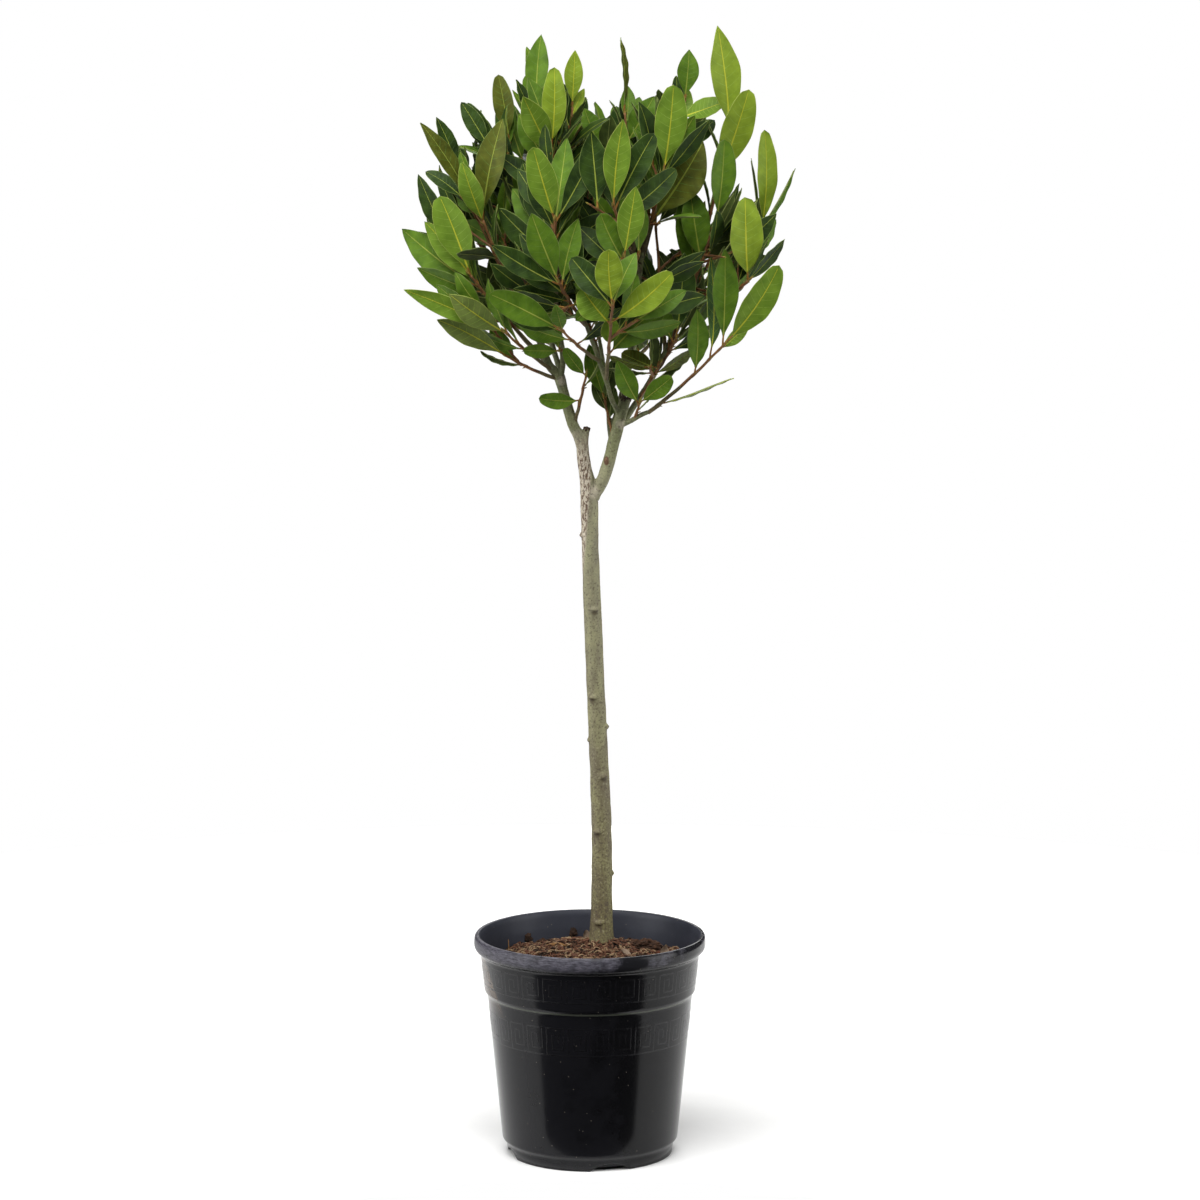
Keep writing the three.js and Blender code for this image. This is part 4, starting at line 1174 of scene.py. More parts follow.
# Each knuckle: its height, its bearing in degrees and its size. Each pale fork: its middle and its reach.
KNUCKLES = [(191, 252, 0.9), (232, 8, 0.8), (265, 242, 1.0), (288, 100, 0.8), (312, 298, 1.0),
            (341, 182, 0.7), (352, 4, 1.1), (377, 242, 1.1), (412, 95, 0.8), (449, 284, 1.0), (470, 60, 0.7),
            (509, 188, 0.9), (540, 355, 0.6)]
KNUCKLE_BUMP = {"stem": 8, "below": 2.2, "flat": 1.9, "rise": 2.0, "reach": 4.0}
KNUCKLE_FOLD = {"deep": 0.6, "away": 4.4, "wide": 0.7}
KNUCKLE_RING = {"deep": 0.12, "wide": 0.9}
knuckle_shade_spots = []
BUD_SCAR = (13.6, -5.6, 573.0)
PALE_FORKS = [((-11, -2, 595), 6.5), ((25.5, -6, 603), 6.0), ((3, -1, 547), 7.0), ((-22, -8, 638), 5.0)]


def fine_limb(rows, every=2.0):
    """Closely spaced points and radii along a limb."""
    steps = int(sum(math.dist(a[:3], b[:3]) for a, b in zip(rows, rows[1:])) / every)
    shares = np.linspace(0, 1, steps + 1)
    radii = np.interp(shares * (len(rows) - 1), range(len(rows)), [row[3] for row in rows])
    ease = np.ones(5) / 5
    padded = np.concatenate([[radii[0]] * 2, radii, [radii[-1]] * 2])
    return np.array([limb_place(rows, s) for s in shares]), np.convolve(padded, ease, "valid")


wood_pile = Pile()
for name, rows in LIMBS.items():
    spots, radii = fine_limb(rows)
    if name == "trunk":
        spots[:, 2] = np.maximum(spots[:, 2], rows[0][2])
        radii = radii * SLIMMER["trunk"]
    elif name.startswith("branch"):
        radii = radii * SLIMMER["branch"]
    wood_pile.add(*tube(spots, radii, LIMB_SIDES))
tubes = add_object("wood_tubes", mesh_of("wood_tubes", wood_pile))
remesh = tubes.modifiers.new("skin", "REMESH")
remesh.mode = "VOXEL"
remesh.voxel_size = SKIN * MM
skin = bpy.data.meshes.new_from_object(tubes.evaluated_get(bpy.context.evaluated_depsgraph_get()))
bpy.data.objects.remove(tubes)
print("skin points:", len(skin.vertices))

# %% Smooth the forks, then push the relief into the skin
def points_of(mesh):
    flat = np.zeros(len(mesh.vertices) * 3)
    mesh.vertices.foreach_get("co", flat)
    return flat.reshape(-1, 3) / MM


def normals_of(mesh):
    flat = np.zeros(len(mesh.vertices) * 3, np.float32)
    mesh.vertex_normals.foreach_get("vector", flat)
    return flat.reshape(-1, 3).astype(float)


def smooth_points(mesh, points, rounds):
    """Draws each point towards the middle of its neighbours."""
    ends = np.zeros(len(mesh.edges) * 2, int)
    mesh.edges.foreach_get("vertices", ends)
    a, b = ends.reshape(-1, 2).T
    count = np.bincount(np.concatenate([a, b]), minlength=len(points))[:, None]
    for _ in range(rounds):
        total = np.zeros_like(points)
        np.add.at(total, a, points[b])
        np.add.at(total, b, points[a])
        points = points * 0.4 + 0.6 * total / count
    return points


def put_points(mesh, points):
    mesh.vertices.foreach_set("co", (points * MM).ravel())
    mesh.update()


def hill(x, middle, wide):
    """A smooth hill that is 1 at its middle."""
    return np.exp(-((x - middle) / wide) ** 2)


def bark_noise(p, across, along):
    """Noise with blobs of so many millimetres across the stem and along it."""
    return noise.noise(Vector((p[0] / across, p[1] / across, p[2] / along)))


points = smooth_points(skin, points_of(skin), 2)
put_points(skin, points)
normals = normals_of(skin)
push = np.zeros(len(points))
for z, azimuth, size in KNUCKLES:
    rows = LIMBS["trunk"]
    share = np.interp(z, [row[2] for row in rows], np.arange(len(rows)) / (len(rows) - 1))
    middle = limb_place(rows, share)
    turn = math.radians(azimuth)
    spot = middle + np.array([math.cos(turn), math.sin(turn), 0]) * KNUCKLE_BUMP["stem"]
    # Below each knuckle sits the middle of a patch of painted shade.
    knuckle_shade_spots.append(spot - UP * KNUCKLE_BUMP["below"])
    away = points - spot
    away[:, 2] *= KNUCKLE_BUMP["flat"]
    distance = np.linalg.norm(away, axis=1)
    push += KNUCKLE_BUMP["rise"] * size * hill(distance, 0, KNUCKLE_BUMP["reach"])
    fold = hill(distance, KNUCKLE_FOLD["away"], KNUCKLE_FOLD["wide"])
    push -= KNUCKLE_FOLD["deep"] * fold * (away[:, 2] < 0)
    push -= KNUCKLE_RING["deep"] * hill(points[:, 2], z, KNUCKLE_RING["wide"])
scar = np.linalg.norm(points - BUD_SCAR, axis=1)
push += 1.1 * hill(scar, 0, 2.1) - 0.35 * hill(scar, 3.0, 0.6)
for i, p in enumerate(points):
    speck = max(bark_noise(p, 1.1, 1.5) - 0.28, 0)
    push[i] += 0.16 * bark_noise(p, 1.9, 13) + 0.42 * bark_noise(p, 9, 16) + 0.22 * speck
points = points + normals * push[:, None]
foot = LIMBS["trunk"][0][2]
points[:, 2] = np.maximum(points[:, 2], foot)
put_points(skin, points)
print("relief from", round(float(push.min()), 2), "to", round(float(push.max()), 2), "mm")

# %% [markdown]
# The bark's colour changes up the plant: olive brown low on the stem, greyer above and mossy green on the
# boughs, with a silvery patch on the left of the fork. Height and slow noise choose between them. Small dark
# specks and pale flecks go over them, and one bud scar on the right bough is red-brown.

# %% Bark
def near_spot(tree, place, spot, outer, inner, most=1.0):
    """Grows from nothing to most as a place comes near a spot; spot and distances are in millimetres."""
    away = on_vectors(tree, "DISTANCE", place, tuple(c * MM for c in spot), result="Value")
    return ramp(tree, away, outer * MM, inner * MM, 0.0, most)


bark, tree, shader, places = new_finish("smooth_laurel_bark", IOR=1.45)
place = places["Object"]
axes = add_node(tree, "ShaderNodeSeparateXYZ", {"Vector": place}).outputs
stretched = add_node(tree, "ShaderNodeMapping", {"Vector": place, "Scale": (1.0, 1.0, 0.35)}).outputs[0]
clouds = cloud(tree, stretched, 11, 5.0, 0.62)
specks = cloud(tree, place, 1.7, 3.0, 0.6)
# Two tones of each bark drift into each other, so no stretch of the stem is one flat colour.
light_share = ramp(tree, clouds, 0.38, 0.62)
height = ramp(tree, axes["Z"], 0.18, 0.5)
stem_low = blend(tree, light_share, "#5E543B", "#77724A")
stem_high = blend(tree, light_share, "#79755E", "#939271")
stem = blend(tree, height, stem_low, stem_high)
on_boughs = ramp(tree, axes["Z"], 0.56, 0.585)
boughs = blend(tree, on_boughs, stem, blend(tree, light_share, "#5B6040", "#767953"))

# The silvery patch ends aslant below and is mottled with brown. Small pale spots sit in the other forks.
aslant = combine(tree, "MULTIPLY_ADD", axes["X"], -12.0, axes["Z"])
fork = combine(tree, "MULTIPLY", ramp(tree, aslant, 0.535, 0.56), ramp(tree, axes["Z"], 0.60, 0.575))
fork = combine(tree, "MULTIPLY", fork, ramp(tree, axes["X"], 0.004, 0.0))
pale_bark = fork
for spot, reach in PALE_FORKS:
    pale_bark = combine(tree, "MAXIMUM", pale_bark, near_spot(tree, place, spot, reach, 0.5 * reach, 0.6))
silver = blend(tree, pale_bark, boughs, "#BDB3A0")
patches = ramp(tree, cloud(tree, stretched, 1.5, 2.0, 0.7), 0.48, 0.55)
mottled = blend(tree, combine(tree, "MULTIPLY", patches, fork), silver, "#5E4939")

# Dark specks, denser low on the stem, and pale flecks make the bark look dry and grainy.
denser_low = ramp(tree, height, start=0.06, end=0.0)
speckled = combine(tree, "ADD", specks, denser_low)
spotted = blend(tree, ramp(tree, speckled, 0.56, 0.66, end=0.75), mottled, "#4B4036")
flecked = blend(tree, ramp(tree, specks, 0.42, 0.32, end=0.5), spotted, "#A09A7C")

# The oval scar has a pale middle, and a dark painted shade under each knuckle, over its fold, makes it stand
# out.
squash = 0.6
squashed = on_vectors(tree, "MULTIPLY", place, (1.0, 1.0, squash))
scar_middle = (BUD_SCAR[0], BUD_SCAR[1], BUD_SCAR[2] * squash)
scar_tone = blend(tree, near_spot(tree, squashed, scar_middle, 1.7, 0.8), "#5A3A28", "#B5825C")
scarred = blend(tree, near_spot(tree, squashed, scar_middle, 2.7, 2.0, 0.9), flecked, scar_tone)
painted_shade_under_knuckle = 0.0
for spot in knuckle_shade_spots:
    painted_shade_under_knuckle = combine(tree, "MAXIMUM", painted_shade_under_knuckle, near_spot(tree, place, spot, 3.6, 1.6, 0.65))
knuckle_shaded = blend(tree, painted_shade_under_knuckle, scarred, "#463828")
wire(tree, shader, knuckle_shaded, ramp(tree, clouds, start=0.55, end=0.8), specks, 0.5, 0.3)
skin.materials.append(bark)
skin.polygons.foreach_set("use_smooth", [True] * len(skin.polygons))
hand_over(add_object("stem_and_boughs", skin), list(LIMBS))

# %% [markdown]
# The leader and the right bough were pruned. A pruned end is a ring of torn bark round dead, blackened wood
# that has sunk a little. It is made as a dished disc with a ragged rim, and small splinters stand on the
# bough's cut.

# %% Pruned ends
def cut_end(gathered, rows, radius, ragged, draw):
    """A dished cap on the last row of a limb."""
    tip = np.array(rows[-1][:3], float)
    way = unit(tip - np.array(rows[-2][:3], float))
    right = unit(np.cross(way, AHEAD))
    other = np.cross(way, right)
    rings, sides = (1.0, 1.06, 0.9, 0.62, 0.3, 0.05), 26
    rises = (-2.2, 0.5, 0.9, -0.1, -0.7, -0.8)
    rough = [1 + spread(draw, ragged) for _ in range(sides)]
    spots = []
    for ring, rise in zip(rings, rises):
        for k in range(sides):
            turn = 2 * math.pi * k / sides
            r = radius * ring * (1 + (rough[k] - 1) * 0.6)
            lift = rise * rough[k] + spread(draw, 0.25)
            spots.append(tip + way * lift + around(right, other, turn) * r)
    last = (len(rings) - 1) * sides
    gathered.add(spots, ring_walls(len(rings), sides), [[last + k for k in range(sides)]])
    return tip, way, right, other


cuts = Pile()
cut_draw = seeded(77)
cut_end(cuts, LIMBS["trunk"], 2.75, 0.25, cut_draw)
tip, way, right, other = cut_end(cuts, LIMBS["bough_right"], 4.7, 0.4, cut_draw)
for k in range(16):
    turn = 6.28 * cut_draw()
    foot_at = tip + around(right, other, turn) * 3.9 - way * 1.0
    lean = around(right, other, turn) * 0.5 + way
    height = 2.5 + 4 * cut_draw()
    spots = foot_at + unit(lean) * (np.linspace(0, 1, 5) * height)[:, None]
    spots = spots + np.array([spread(cut_draw, 0.5) for _ in range(15)]).reshape(5, 3)
    cuts.add(*tube(spots, np.array([0.75, 0.65, 0.5, 0.35, 0.1]), 5))
dead_wood = plant_finish("blackened_dead_wood", "#1E1A18", "#5A4A3C", 0.85, 1.0, 1.6)
make_piece("pruned_ends", cuts, dead_wood, ["trunk", "bough_right"])

# %% [markdown]
# ## Pot
# The pot is injection-moulded black polypropylene, thin-walled, with a rolled lip, a wider collar and two
# bands of Greek key in low relief. A turned profile gives the wall, with its corners rounded, and short
# raised bars laid round it give the key. Four low arches in the foot let water out: there the bottom rings of
# the wall are simply lifted.

# %% Sizes of the pot, in millimetres
POT = {"height": 182.6, "rim": 95.0, "rim_depth": 11.8, "collar": 89.6, "collar_foot": 137.0, "body": 84.0,
       "body_foot": 72.1, "foot_turn": 12.8, "foot": 67.7, "wall": 2.2, "floor": 3.0, "step": 4.0}
NOTCH = {"count": 4, "width": 34.0, "height": 6.0, "turn": -75.8}
COLUMNS = 360
HOLD = 0.25
LIP = POT["height"] - POT["rim_depth"]


def rounded(profile, radii, steps=4):
    """A profile whose corners are swept round; a point just off each sweep keeps the long runs flat."""
    out = [profile[0]]
    for before, corner, after, radius in zip(profile, profile[1:], profile[2:], radii):
        before, corner, after = (np.array(p, float) for p in (before, corner, after))
        if radius == 0:
            out.append(corner)
            continue
        a = corner + unit2(before - corner) * min(radius, 0.45 * np.linalg.norm(before - corner))
        b = corner + unit2(after - corner) * min(radius, 0.45 * np.linalg.norm(after - corner))
        out.append(a + unit2(before - a) * HOLD)
        for k in range(steps + 1):
            t = k / steps
            out.append((1 - t) ** 2 * a + 2 * t * (1 - t) * corner + t * t * b)
        out.append(b + unit2(after - b) * HOLD)
    out.append(profile[-1])
    return np.array([np.asarray(p, float) for p in out])


def unit2(v):
    return v / math.hypot(v[0], v[1])


OUTSIDE = [[61, 0], [61, 0.2], [POT["foot"], 0.2], [POT["foot"] + 1.2, 9],
           [POT["body_foot"], POT["foot_turn"]],
           [POT["body"], POT["collar_foot"] - POT["step"]], [POT["collar"] - 3, POT["collar_foot"]],
           [POT["collar"], LIP - 3.6], [POT["rim"] - 1.2, LIP], [POT["rim"], LIP + 3],
           [POT["rim"] - 0.2, POT["height"] - 2.5], [POT["rim"] - 1.6, POT["height"]],
           [POT["rim"] - 4, POT["height"]], [POT["rim"] - 5.6, POT["height"] - 3],
           [POT["collar"] - POT["wall"], LIP - 3], [POT["collar"] - 3 - POT["wall"], POT["collar_foot"]],
           [POT["body"] - POT["wall"], POT["collar_foot"] - POT["step"]],
           [POT["body_foot"] - POT["wall"], POT["foot_turn"]], [POT["foot"] - POT["wall"], POT["floor"]],
           [30, POT["floor"]]]
CORNERS = [0.0, 0.0, 1.5, 1.2, 2.2, 1.0, 1.6, 1.2, 1.2, 3, 1.6, 1.2, 2.0, 2, 2, 2, 2, 1.5]
wall_line = rounded(OUTSIDE, CORNERS)
print("points in the pot's profile:", len(wall_line))

# %% Turn the wall, with its arches
def arch_height(turn):
    """How far the foot is lifted at an angle round the pot."""
    best = 0.0
    for k in range(NOTCH["count"]):
        middle = math.radians(NOTCH["turn"] + k * 360 / NOTCH["count"])
        off = (turn - middle + math.pi) % (2 * math.pi) - math.pi
        x = off * POT["foot"] / (NOTCH["width"] / 2)
        best = max(best, NOTCH["height"] * (1 - x * x))
    return best


FOOT_TOP = 9
LAST_LOW = int(np.argmax(wall_line[:, 1])) - 1
pot_pile = Pile()
ring_points = []
for k in range(COLUMNS):
    turn = 2 * math.pi * k / COLUMNS
    lifted = arch_height(turn)
    for i, (r, z) in enumerate(wall_line):
        high = max(z, lifted) if 0 < i < LAST_LOW and z < FOOT_TOP else z
        ring_points.append([*polar(r, turn), high])
across = len(wall_line)
k, i = np.meshgrid(np.arange(COLUMNS), np.arange(across - 1), indexing="ij")
a, b = (k * across + i).ravel(), (((k + 1) % COLUMNS) * across + i).ravel()
underside = [j * across for j in range(COLUMNS)][::-1]
bottom = [j * across + across - 1 for j in range(COLUMNS)]
pot_pile.add(ring_points, np.stack([a, b, b + 1, a + 1], axis=1), [underside], [bottom])
print("arch at its top:", round(arch_height(math.radians(NOTCH["turn"])), 2), "mm")

# %% [markdown]
# The Greek key is a line that turns in on itself, over and over. One unit is drawn as a path on a unit square
# and repeated round the pot; each straight run becomes a low bar with sloping sides, so it catches the light
# along its edges as the moulded one does.

# %% Greek key in relief
KEY = {"units": 28, "line": 1.5, "top": 0.5, "proud": 0.1, "sunk": 0.03}
KEY_PATHS = [[(0, 0), (1, 0)], [(0.06, 0), (0.06, 1), (0.84, 1), (0.84, 0.22), (0.32, 0.22), (0.32, 0.76),
                                (0.6, 0.76), (0.6, 0.46)]]
KEY_BANDS = [(144.0, 163.0), (99.0, 121.5)]


def wall_radius(z):
    """The outer radius of the wall at a height."""
    outer = [(z0, r0) for r0, z0 in OUTSIDE[3:8]]
    return float(np.interp(z, [p[0] for p in outer], [p[1] for p in outer]))


def on_wall(turn, z, out):
    return [*polar(wall_radius(z) + out, turn), z]


def key_bar(start, end, low, high, first_turn, pitch):
    """One straight run of the key as a low bar: a narrow top and sloping sides that end in the wall."""
    (x0, y0), (x1, y1) = sorted([start, end])
    z0, z1 = low + (high - low) * y0, low + (high - low) * y1
    z0, z1 = min(z0, z1), max(z0, z1)
    radius = wall_radius((low + high) / 2)
    pieces = max(int((x1 - x0) * 6), 1)
    half = KEY["line"] / 2
    rows = []
    for width, out in ((half, -KEY["sunk"]), (KEY["top"] / 2, KEY["proud"])):
        past = width / radius
        turns = np.linspace(first_turn + pitch * x0 - past, first_turn + pitch * x1 + past, pieces + 1)
        rows.append([[on_wall(t, z, out) for t in turns] for z in (z0 - width, z1 + width)])
    spots = [p for row in rows for line in row for p in line]
    n = pieces + 1
    quads = [[2 * n + i, 2 * n + i + 1, 3 * n + i + 1, 3 * n + i] for i in range(pieces)]
    quads += [[i, i + 1, 2 * n + i + 1, 2 * n + i] for i in range(pieces)]
    quads += [[n + i + 1, n + i, 3 * n + i, 3 * n + i + 1] for i in range(pieces)]
    quads += [[0, 2 * n, 3 * n, n], [pieces, n + pieces, 3 * n + pieces, 2 * n + pieces]]
    key_pile.add(spots, quads)


key_pile = Pile()
for low, high in KEY_BANDS:
    for unit_index in range(KEY["units"]):
        pitch = 2 * math.pi / KEY["units"]
        for path in KEY_PATHS:
            for start, end in zip(path, path[1:]):
                key_bar(start, end, low, high, unit_index * pitch, pitch)
print("faces in the pot:", len(pot_pile.faces), "and in its key:", len(key_pile.faces))

# %% [markdown]
# Polypropylene leaves the mould with a satin skin. Black pots bloom with age: the lip turns bluish grey where
# hands and trolleys scuff it, and fine specks sit everywhere. The finish starts from satin black and lays the
# scuffs over it, with a brown painted reflection on the left below the lip and a pale painted highlight along
# the step.

# %% Black polypropylene
SPECK = {"apart": 7, "outer": 0.075, "inner": 0.045}
plastic, tree, shader, places = new_finish("moulded_black_polypropylene", IOR=1.49, Specular_IOR_Level=0.22)
place = places["Object"]
axes = add_node(tree, "ShaderNodeSeparateXYZ", {"Vector": place}).outputs
clouds = cloud(tree, place, 26, 6.0, 0.6)
scratched = add_node(tree, "ShaderNodeMapping", {"Vector": place, "Scale": (1.0, 1.0, 5.0)}).outputs[0]
scratches = cloud(tree, scratched, 5, 6.0, 0.7)
# The lip is a little greyer than the wall, and scuffed towards the left.
on_rim = ramp(tree, axes["Z"], (LIP - 1) * MM, (LIP + 2) * MM)
toward_left = ramp(tree, axes["X"], 0.03, -0.012, end=0.24)
patchy = ramp(tree, combine(tree, "ADD", clouds, toward_left), 0.52, 0.68)
scuff = combine(tree, "MULTIPLY", on_rim, patchy)
rim_black = blend(tree, on_rim, blend(tree, patchy, "#0F0F11", "#161619"), "#1C1C1F")
rubbed = blend(tree, ramp(tree, scratches, 0.36, 0.64), "#2B2A31", "#615F68")
rimmed = blend(tree, scuff, rim_black, rubbed)

# The inner wall has a bluish film of dried splashes, and fine pale specks sit everywhere.
flat_place = on_vectors(tree, "MULTIPLY", place, (1.0, 1.0, 0.0))
outward = on_vectors(tree, "DOT_PRODUCT", flat_place, places["Normal"], result="Value")
inside = ramp(tree, outward, -0.02, -0.06)
lined_wall = blend(tree, inside, rimmed, blend(tree, clouds, "#26282F", "#3B3D46"))
dots = add_node(tree, "ShaderNodeTexVoronoi", {"Vector": place, "Scale": 1 / (SPECK["apart"] * MM)})
speck = ramp(tree, dots.outputs["Distance"], SPECK["outer"], SPECK["inner"])
specked = blend(tree, speck, lined_wall, "#5C5750")

# A brown painted reflection lies on the left under the lip; a pale painted highlight runs along the step.
painted_reflection_patch = ramp(tree, combine(tree, "MULTIPLY_ADD", axes["Z"], 0.36, axes["X"]), -0.0244, -0.0262)
for axis, low, high in (("Z", 0.120, 0.145), ("Y", 0.02, -0.01), ("Z", LIP * MM, (LIP - 4) * MM)):
    painted_reflection_patch = combine(tree, "MULTIPLY", painted_reflection_patch, ramp(tree, axes[axis], low, high))
with_painted_reflection = blend(tree, painted_reflection_patch, specked, "#574B40")
# Painted highlight: a thin pale line along the step, where a rounded edge would catch the light.
step_highlight_from = ramp(tree, axes["Z"], 0.1330, 0.1336)
step_highlight_to = ramp(tree, axes["Z"], 0.1352, 0.1345)
with_step_highlight = blend(tree, combine(tree, "MULTIPLY", step_highlight_from, step_highlight_to), with_painted_reflection, "#4A4D45")

# Clean wall is glossy enough to mirror the panels, and scuffed wall is duller.
satin = ramp(tree, scratches, 0.3, 0.7, 0.13, 0.22)
worn = ramp(tree, combine(tree, "MAXIMUM", scuff, inside), end=0.25)
wire(tree, shader, with_step_highlight, combine(tree, "ADD", satin, worn), scratches, 0.05)
make_piece("nursery_pot", pot_pile, plastic, ["pot"])

# %% [markdown]
# The key's raised lines are the first part of the wall to be rubbed, so their gloss is gone and they show a
# little greyer than the wall they stand on.

# %% Rubbed polypropylene on the key
rubbed_lines, tree, shader, places = new_finish("rubbed_black_polypropylene", IOR=1.49,
                                                Specular_IOR_Level=0.3)
rubs = cloud(tree, places["Object"], 9, 4.0)
wire(tree, shader, blend(tree, rubs, "#0D0D0F", "#19191C"), ramp(tree, rubs, start=0.2, end=0.32))
make_piece("greek_key", key_pile, rubbed_lines, ["pot"])

# %% [markdown]
# ## Compost
# The pot is filled with bark compost: a dark crumb with red-brown fibres, flat chips and a few bigger bits on
# it. It heaps up a little at the stem. The crumb is a disc pushed about by noise, and the fibres and chips
# are thousands of small meshes scattered over it by seeded numbers.

# %% The heaped crumb
SOIL = {"edge": 160.0, "top": 170.0, "flat": 34.0, "radius": 86.0, "skirt": 146.0, "settled": 1.8,
        "bank": 3.2, "bank_reach": 14}
# Each kind of lump: its height, its width and the level its noise is read at.
SOIL_LUMPS = [(1.7, 13, 3.1), (1.1, 4.5, 7.7), (0.6, 1.6, 1.3)]
TRUNK_FOOT = (9.5, 22.0, 9.2)


def soil_height(x, y):
    """Height of the compost at a place, with its lumps."""
    r = math.hypot(x, y)
    heap = np.interp(r, [0, SOIL["flat"], 56, SOIL["radius"] - 14, SOIL["radius"]],
                     [SOIL["top"], SOIL["top"], SOIL["top"] - 5, SOIL["edge"] + 1, SOIL["edge"]])
    lumps = sum(high * noise.noise(Vector((x / wide, y / wide, level))) for high, wide, level in SOIL_LUMPS)
    from_stem = math.hypot(x - TRUNK_FOOT[0], y - TRUNK_FOOT[1])
    banked = SOIL["bank"] * math.exp(-(from_stem / SOIL["bank_reach"]) ** 4)
    return float(heap) - SOIL["settled"] + lumps + banked


crumb = Pile()
SOIL_RINGS, SOIL_SPOKES = 72, 220
radii = np.linspace(0.6, SOIL["radius"], SOIL_RINGS)
spots = []
for r in radii:
    for k in range(SOIL_SPOKES):
        spot = polar(r, 2 * math.pi * k / SOIL_SPOKES)
        spots.append([*spot, soil_height(*spot)])
for k in range(SOIL_SPOKES):
    spots.append([*polar(SOIL["radius"] - 2.5, 2 * math.pi * k / SOIL_SPOKES), SOIL["skirt"]])
middle = list(range(SOIL_SPOKES))
below = [SOIL_RINGS * SOIL_SPOKES + k for k in range(SOIL_SPOKES)][::-1]
crumb.add(spots, ring_walls(SOIL_RINGS + 1, SOIL_SPOKES, True), [middle], [below])
print("compost points:", len(spots))

# %% Fibres, chips and bigger bits
INSIDE_POT = 84
soil_draw = seeded(903)


def free_place(most):
    """A seeded spot on the compost, outside the stem."""
    while True:
        x, y = polar(most * math.sqrt(soil_draw()), 2 * math.pi * soil_draw())
        if math.hypot(x - TRUNK_FOOT[0], y - TRUNK_FOOT[1]) > TRUNK_FOOT[2]:
            return x, y


def add_fibre(gathered, length, thick):
    x, y = free_place(82)
    turn = 2 * math.pi * soil_draw()
    bend = spread(soil_draw, 1.6)
    arch = 0.8 + 4.2 * soil_draw()
    spots = []
    for k in range(6):
        s = k / 5 - 0.5
        heading = turn + bend * s
        px, py = x + math.cos(heading) * s * length, y + math.sin(heading) * s * length
        reach = math.hypot(px, py)
        if reach > INSIDE_POT:
            px, py = px * INSIDE_POT / reach, py * INSIDE_POT / reach
        spots.append([px, py, soil_height(px, py) + 0.5 + arch * (0.25 - s * s) * 4 * 0.6])
    radii = thick * np.array([0.5, 0.9, 1, 1, 0.8, 0.3])
    gathered.add(*tube(spots, radii, 4))


def add_chip(gathered, size):
    """A flat, broken piece of bark: an uneven outline with two faces and an edge."""
    x, y = free_place(80)
    z = soil_height(x, y) + 0.8
    turn, tilt, sides = 2 * math.pi * soil_draw(), spread(soil_draw, 0.7), 7
    right = np.array([math.cos(turn), math.sin(turn), 0])
    up = turned(UP, right, tilt)
    other = np.cross(up, right)
    long = size * (0.7 + soil_draw())
    wide = size * (0.35 + 0.4 * soil_draw())
    thick = 0.4 + 0.6 * soil_draw()
    rim = []
    for k in range(sides):
        a = 2 * math.pi * k / sides
        r = 0.75 + 0.5 * soil_draw()
        rim.append(right * math.cos(a) * long * r / 2 + other * math.sin(a) * wide * r / 2)
    spots = [np.array([x, y, z]) + p + up * h for h in (-thick / 2, thick / 2) for p in rim]
    walls = [[k, (k + 1) % sides, sides + (k + 1) % sides, sides + k] for k in range(sides)]
    gathered.add(spots, walls, [list(range(sides))[::-1]], [[sides + k for k in range(sides)]])


soil_piles = {name: Pile() for name in ("fibres_red", "fibres_tan", "fibres_dark", "chips_dark", "chips_red",
                                        "chips_tan")}
for name, count in (("fibres_red", 1500), ("fibres_tan", 750), ("fibres_dark", 500)):
    for _ in range(count):
        add_fibre(soil_piles[name], 4.5 + 9 * soil_draw(), 0.28 + 0.38 * soil_draw())
for name, count, size in (("chips_dark", 420, 4.2), ("chips_red", 330, 4.0), ("chips_tan", 110, 3.4)):
    for _ in range(count):
        add_chip(soil_piles[name], size)


def add_lump(gathered, x, y, size, seed, flat=0.7, z=None):
    """A rough lump of bark, as a ball pushed about by noise."""
    z = soil_height(x, y) + size * flat * 0.55 if z is None else z
    rings, spokes, spots = 22, 34, []
    for i in range(rings + 1):
        lat = math.pi * (i + 0.02) / (rings + 0.04)
        for k in range(spokes):
            lon = 2 * math.pi * k / spokes
            d = np.array([math.sin(lat) * math.cos(lon), math.sin(lat) * math.sin(lon), math.cos(lat)])
            q = Vector(d * 1.3) + Vector((seed, 0, 0))
            r = 1 + 0.5 * noise.noise(q) + 0.36 * noise.noise(q * 3.1) + 0.2 * noise.noise(q * 7)
            spots.append(np.array([x, y, z]) + d * r * np.array([size, size * 0.85, size * flat]))
    last = [rings * spokes + k for k in range(spokes)][::-1]
    gathered.add(spots, ring_walls(rings + 1, spokes, True), [list(range(spokes))], [last])


# Each lump: its pile, how far right and back, its size and its seed. The last two are smears on the pot's
# wall, and have a flatness and a height too.
LUMPS = [("chips_dark", 47, 14, 10.5, 2.0), ("chips_red", 57, 0, 4.5, 9.0), ("chips_red", -74, -8, 4.5, 5.0),
         ("chips_dark", 38, 14, 6.5, 4.0), ("fibres_dark", -52, 69.5, 3.6, 7.0, 0.9, 163),
         ("fibres_dark", -14.5, 86, 3.2, 8.0, 1.1, 164)]
for name, *lump in LUMPS:
    add_lump(soil_piles[name], *lump)
for k in range(26):
    x, y = free_place(78)
    add_lump(soil_piles["chips_dark"], x, y, 1.6 + 2.2 * soil_draw(), 11.0 + k)

dead_leaves = Pile()


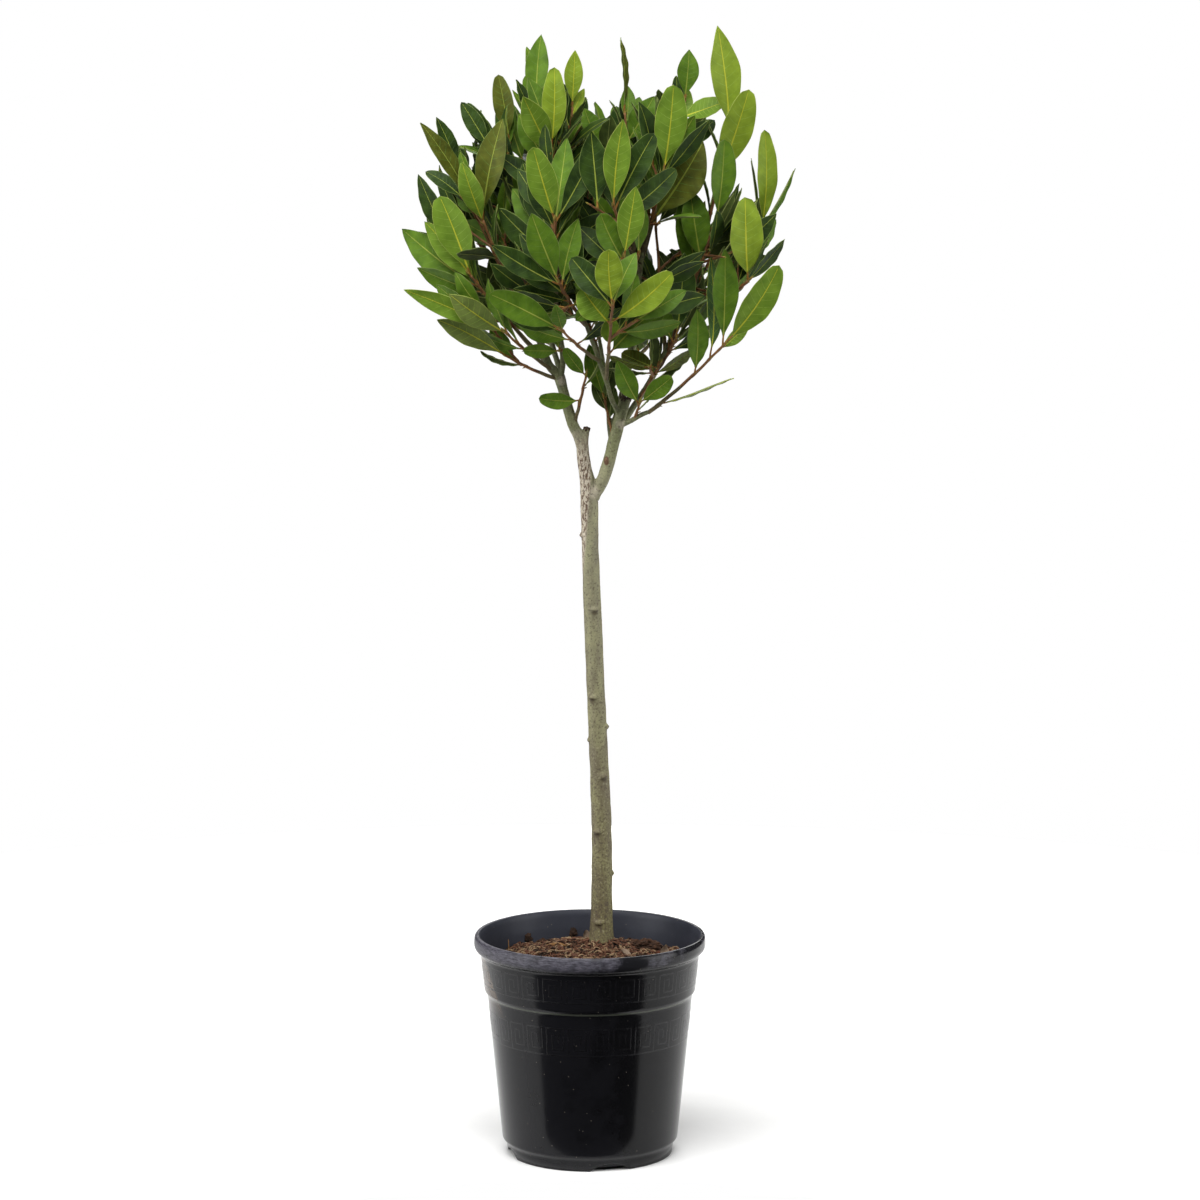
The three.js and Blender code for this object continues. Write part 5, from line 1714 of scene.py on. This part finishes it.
def add_dead_leaf(x, y, lean, turn, length, width):
    """A curled dead leaf that stands or lies on the compost."""
    base = np.array([x, y, soil_height(x, y) - 0.5])
    u = unit(np.array([math.cos(turn) * math.sin(lean), math.sin(turn) * math.sin(lean), math.cos(lean)]))
    v = unit(np.cross(UP, u) if abs(u[2]) < 0.95 else np.array([1.0, 0, 0]))
    n = np.cross(u, v)
    spots = []
    for i in range(12):
        s = i / 11
        half = 0.5 * width * math.sin(math.pi * min(s * 0.9 + 0.06, 1)) + 0.15
        for c in (-1, -0.5, 0, 0.5, 1):
            curl = 0.9 * abs(c) * half + 0.8 * math.sin(5 * s + 3 * c) + 3 * s * s
            spots.append(base + u * s * length + v * c * half + n * curl)
    dead_leaves.add(spots, grid_faces(12, 5))
    lower = np.array(spots) - n * 0.3
    dead_leaves.add(lower, grid_faces(12, 5, True))


# Each dead leaf: how far right and back, its lean, its bearing, its length and its width.
DEAD_LEAVES = [(62, -5, 0.35, 1.2, 12, 8), (70, -10, 0.8, 0.3, 11, 8), (-3, 27, 0.5, 2.0, 9, 6),
               (34, -22, 1.35, 2.4, 12, 6), (-8, -48, 1.4, 0.4, 10, 5)]
for row in DEAD_LEAVES:
    add_dead_leaf(*row)
splinters = Pile()
z = soil_height(-67, 34)
splinters.add(*tube([[-67, 34, z - 1], [-67.2, 34, z + 5], [-67.6, 34, z + 11.5]], [0.55, 0.5, 0.25], 5))
z = soil_height(-28, 15) + 1.5
splinters.add(*tube([[-36, 16, z - 0.5], [-30, 15, z + 0.6], [-24, 14, z + 0.6], [-19, 13, z]],
                    [0.8, 1.7, 1.6, 0.7], 6))
print("fibres and chips:", {name: len(p.faces) for name, p in soil_piles.items()})

# %% [markdown]
# Compost is matt and never one colour: damp crumbs are nearly black, bark is red-brown, and dry fibres are
# tan. Each kind gets two close colours that change from bit to bit.

# %% Finishes of the compost
BIT_DRIFT = 3
compost_finishes = {
    "compost_crumb": ("damp_dark_crumb", "#0F0B08", "#2A1D15", 1.0),
    "fibres_red": ("red_brown_bark_fibre", "#4A3024", "#6E4C3A", 0.5),
    "fibres_tan": ("dry_tan_fibre", "#6E5844", "#9A8263", 0.4),
    "fibres_dark": ("damp_black_fibre", "#1C1510", "#3A2A20", 0.5),
    "chips_dark": ("dark_bark_chip", "#241A14", "#4B3426", 1.0),
    "chips_red": ("red_bark_chip", "#301B13", "#573120", 1.0),
    "chips_tan": ("pale_bark_chip", "#7A6048", "#A68A68", 0.8),
    "dead_leaves": ("dry_dead_leaf", "#6A5A4C", "#8E7C6A", 0.6),
    "splinters": ("split_pine", "#624428", "#8A6842", 1.0),
}
soil_piles.update(compost_crumb=crumb, dead_leaves=dead_leaves, splinters=splinters)
for name, (finish_name, dark, light, relief) in compost_finishes.items():
    finish = plant_finish(finish_name, dark, light, 0.8, relief, BIT_DRIFT)
    is_smooth = name not in ("chips_dark", "chips_tan")
    make_piece(name, soil_piles[name], finish, ["compost"], smooth=is_smooth)
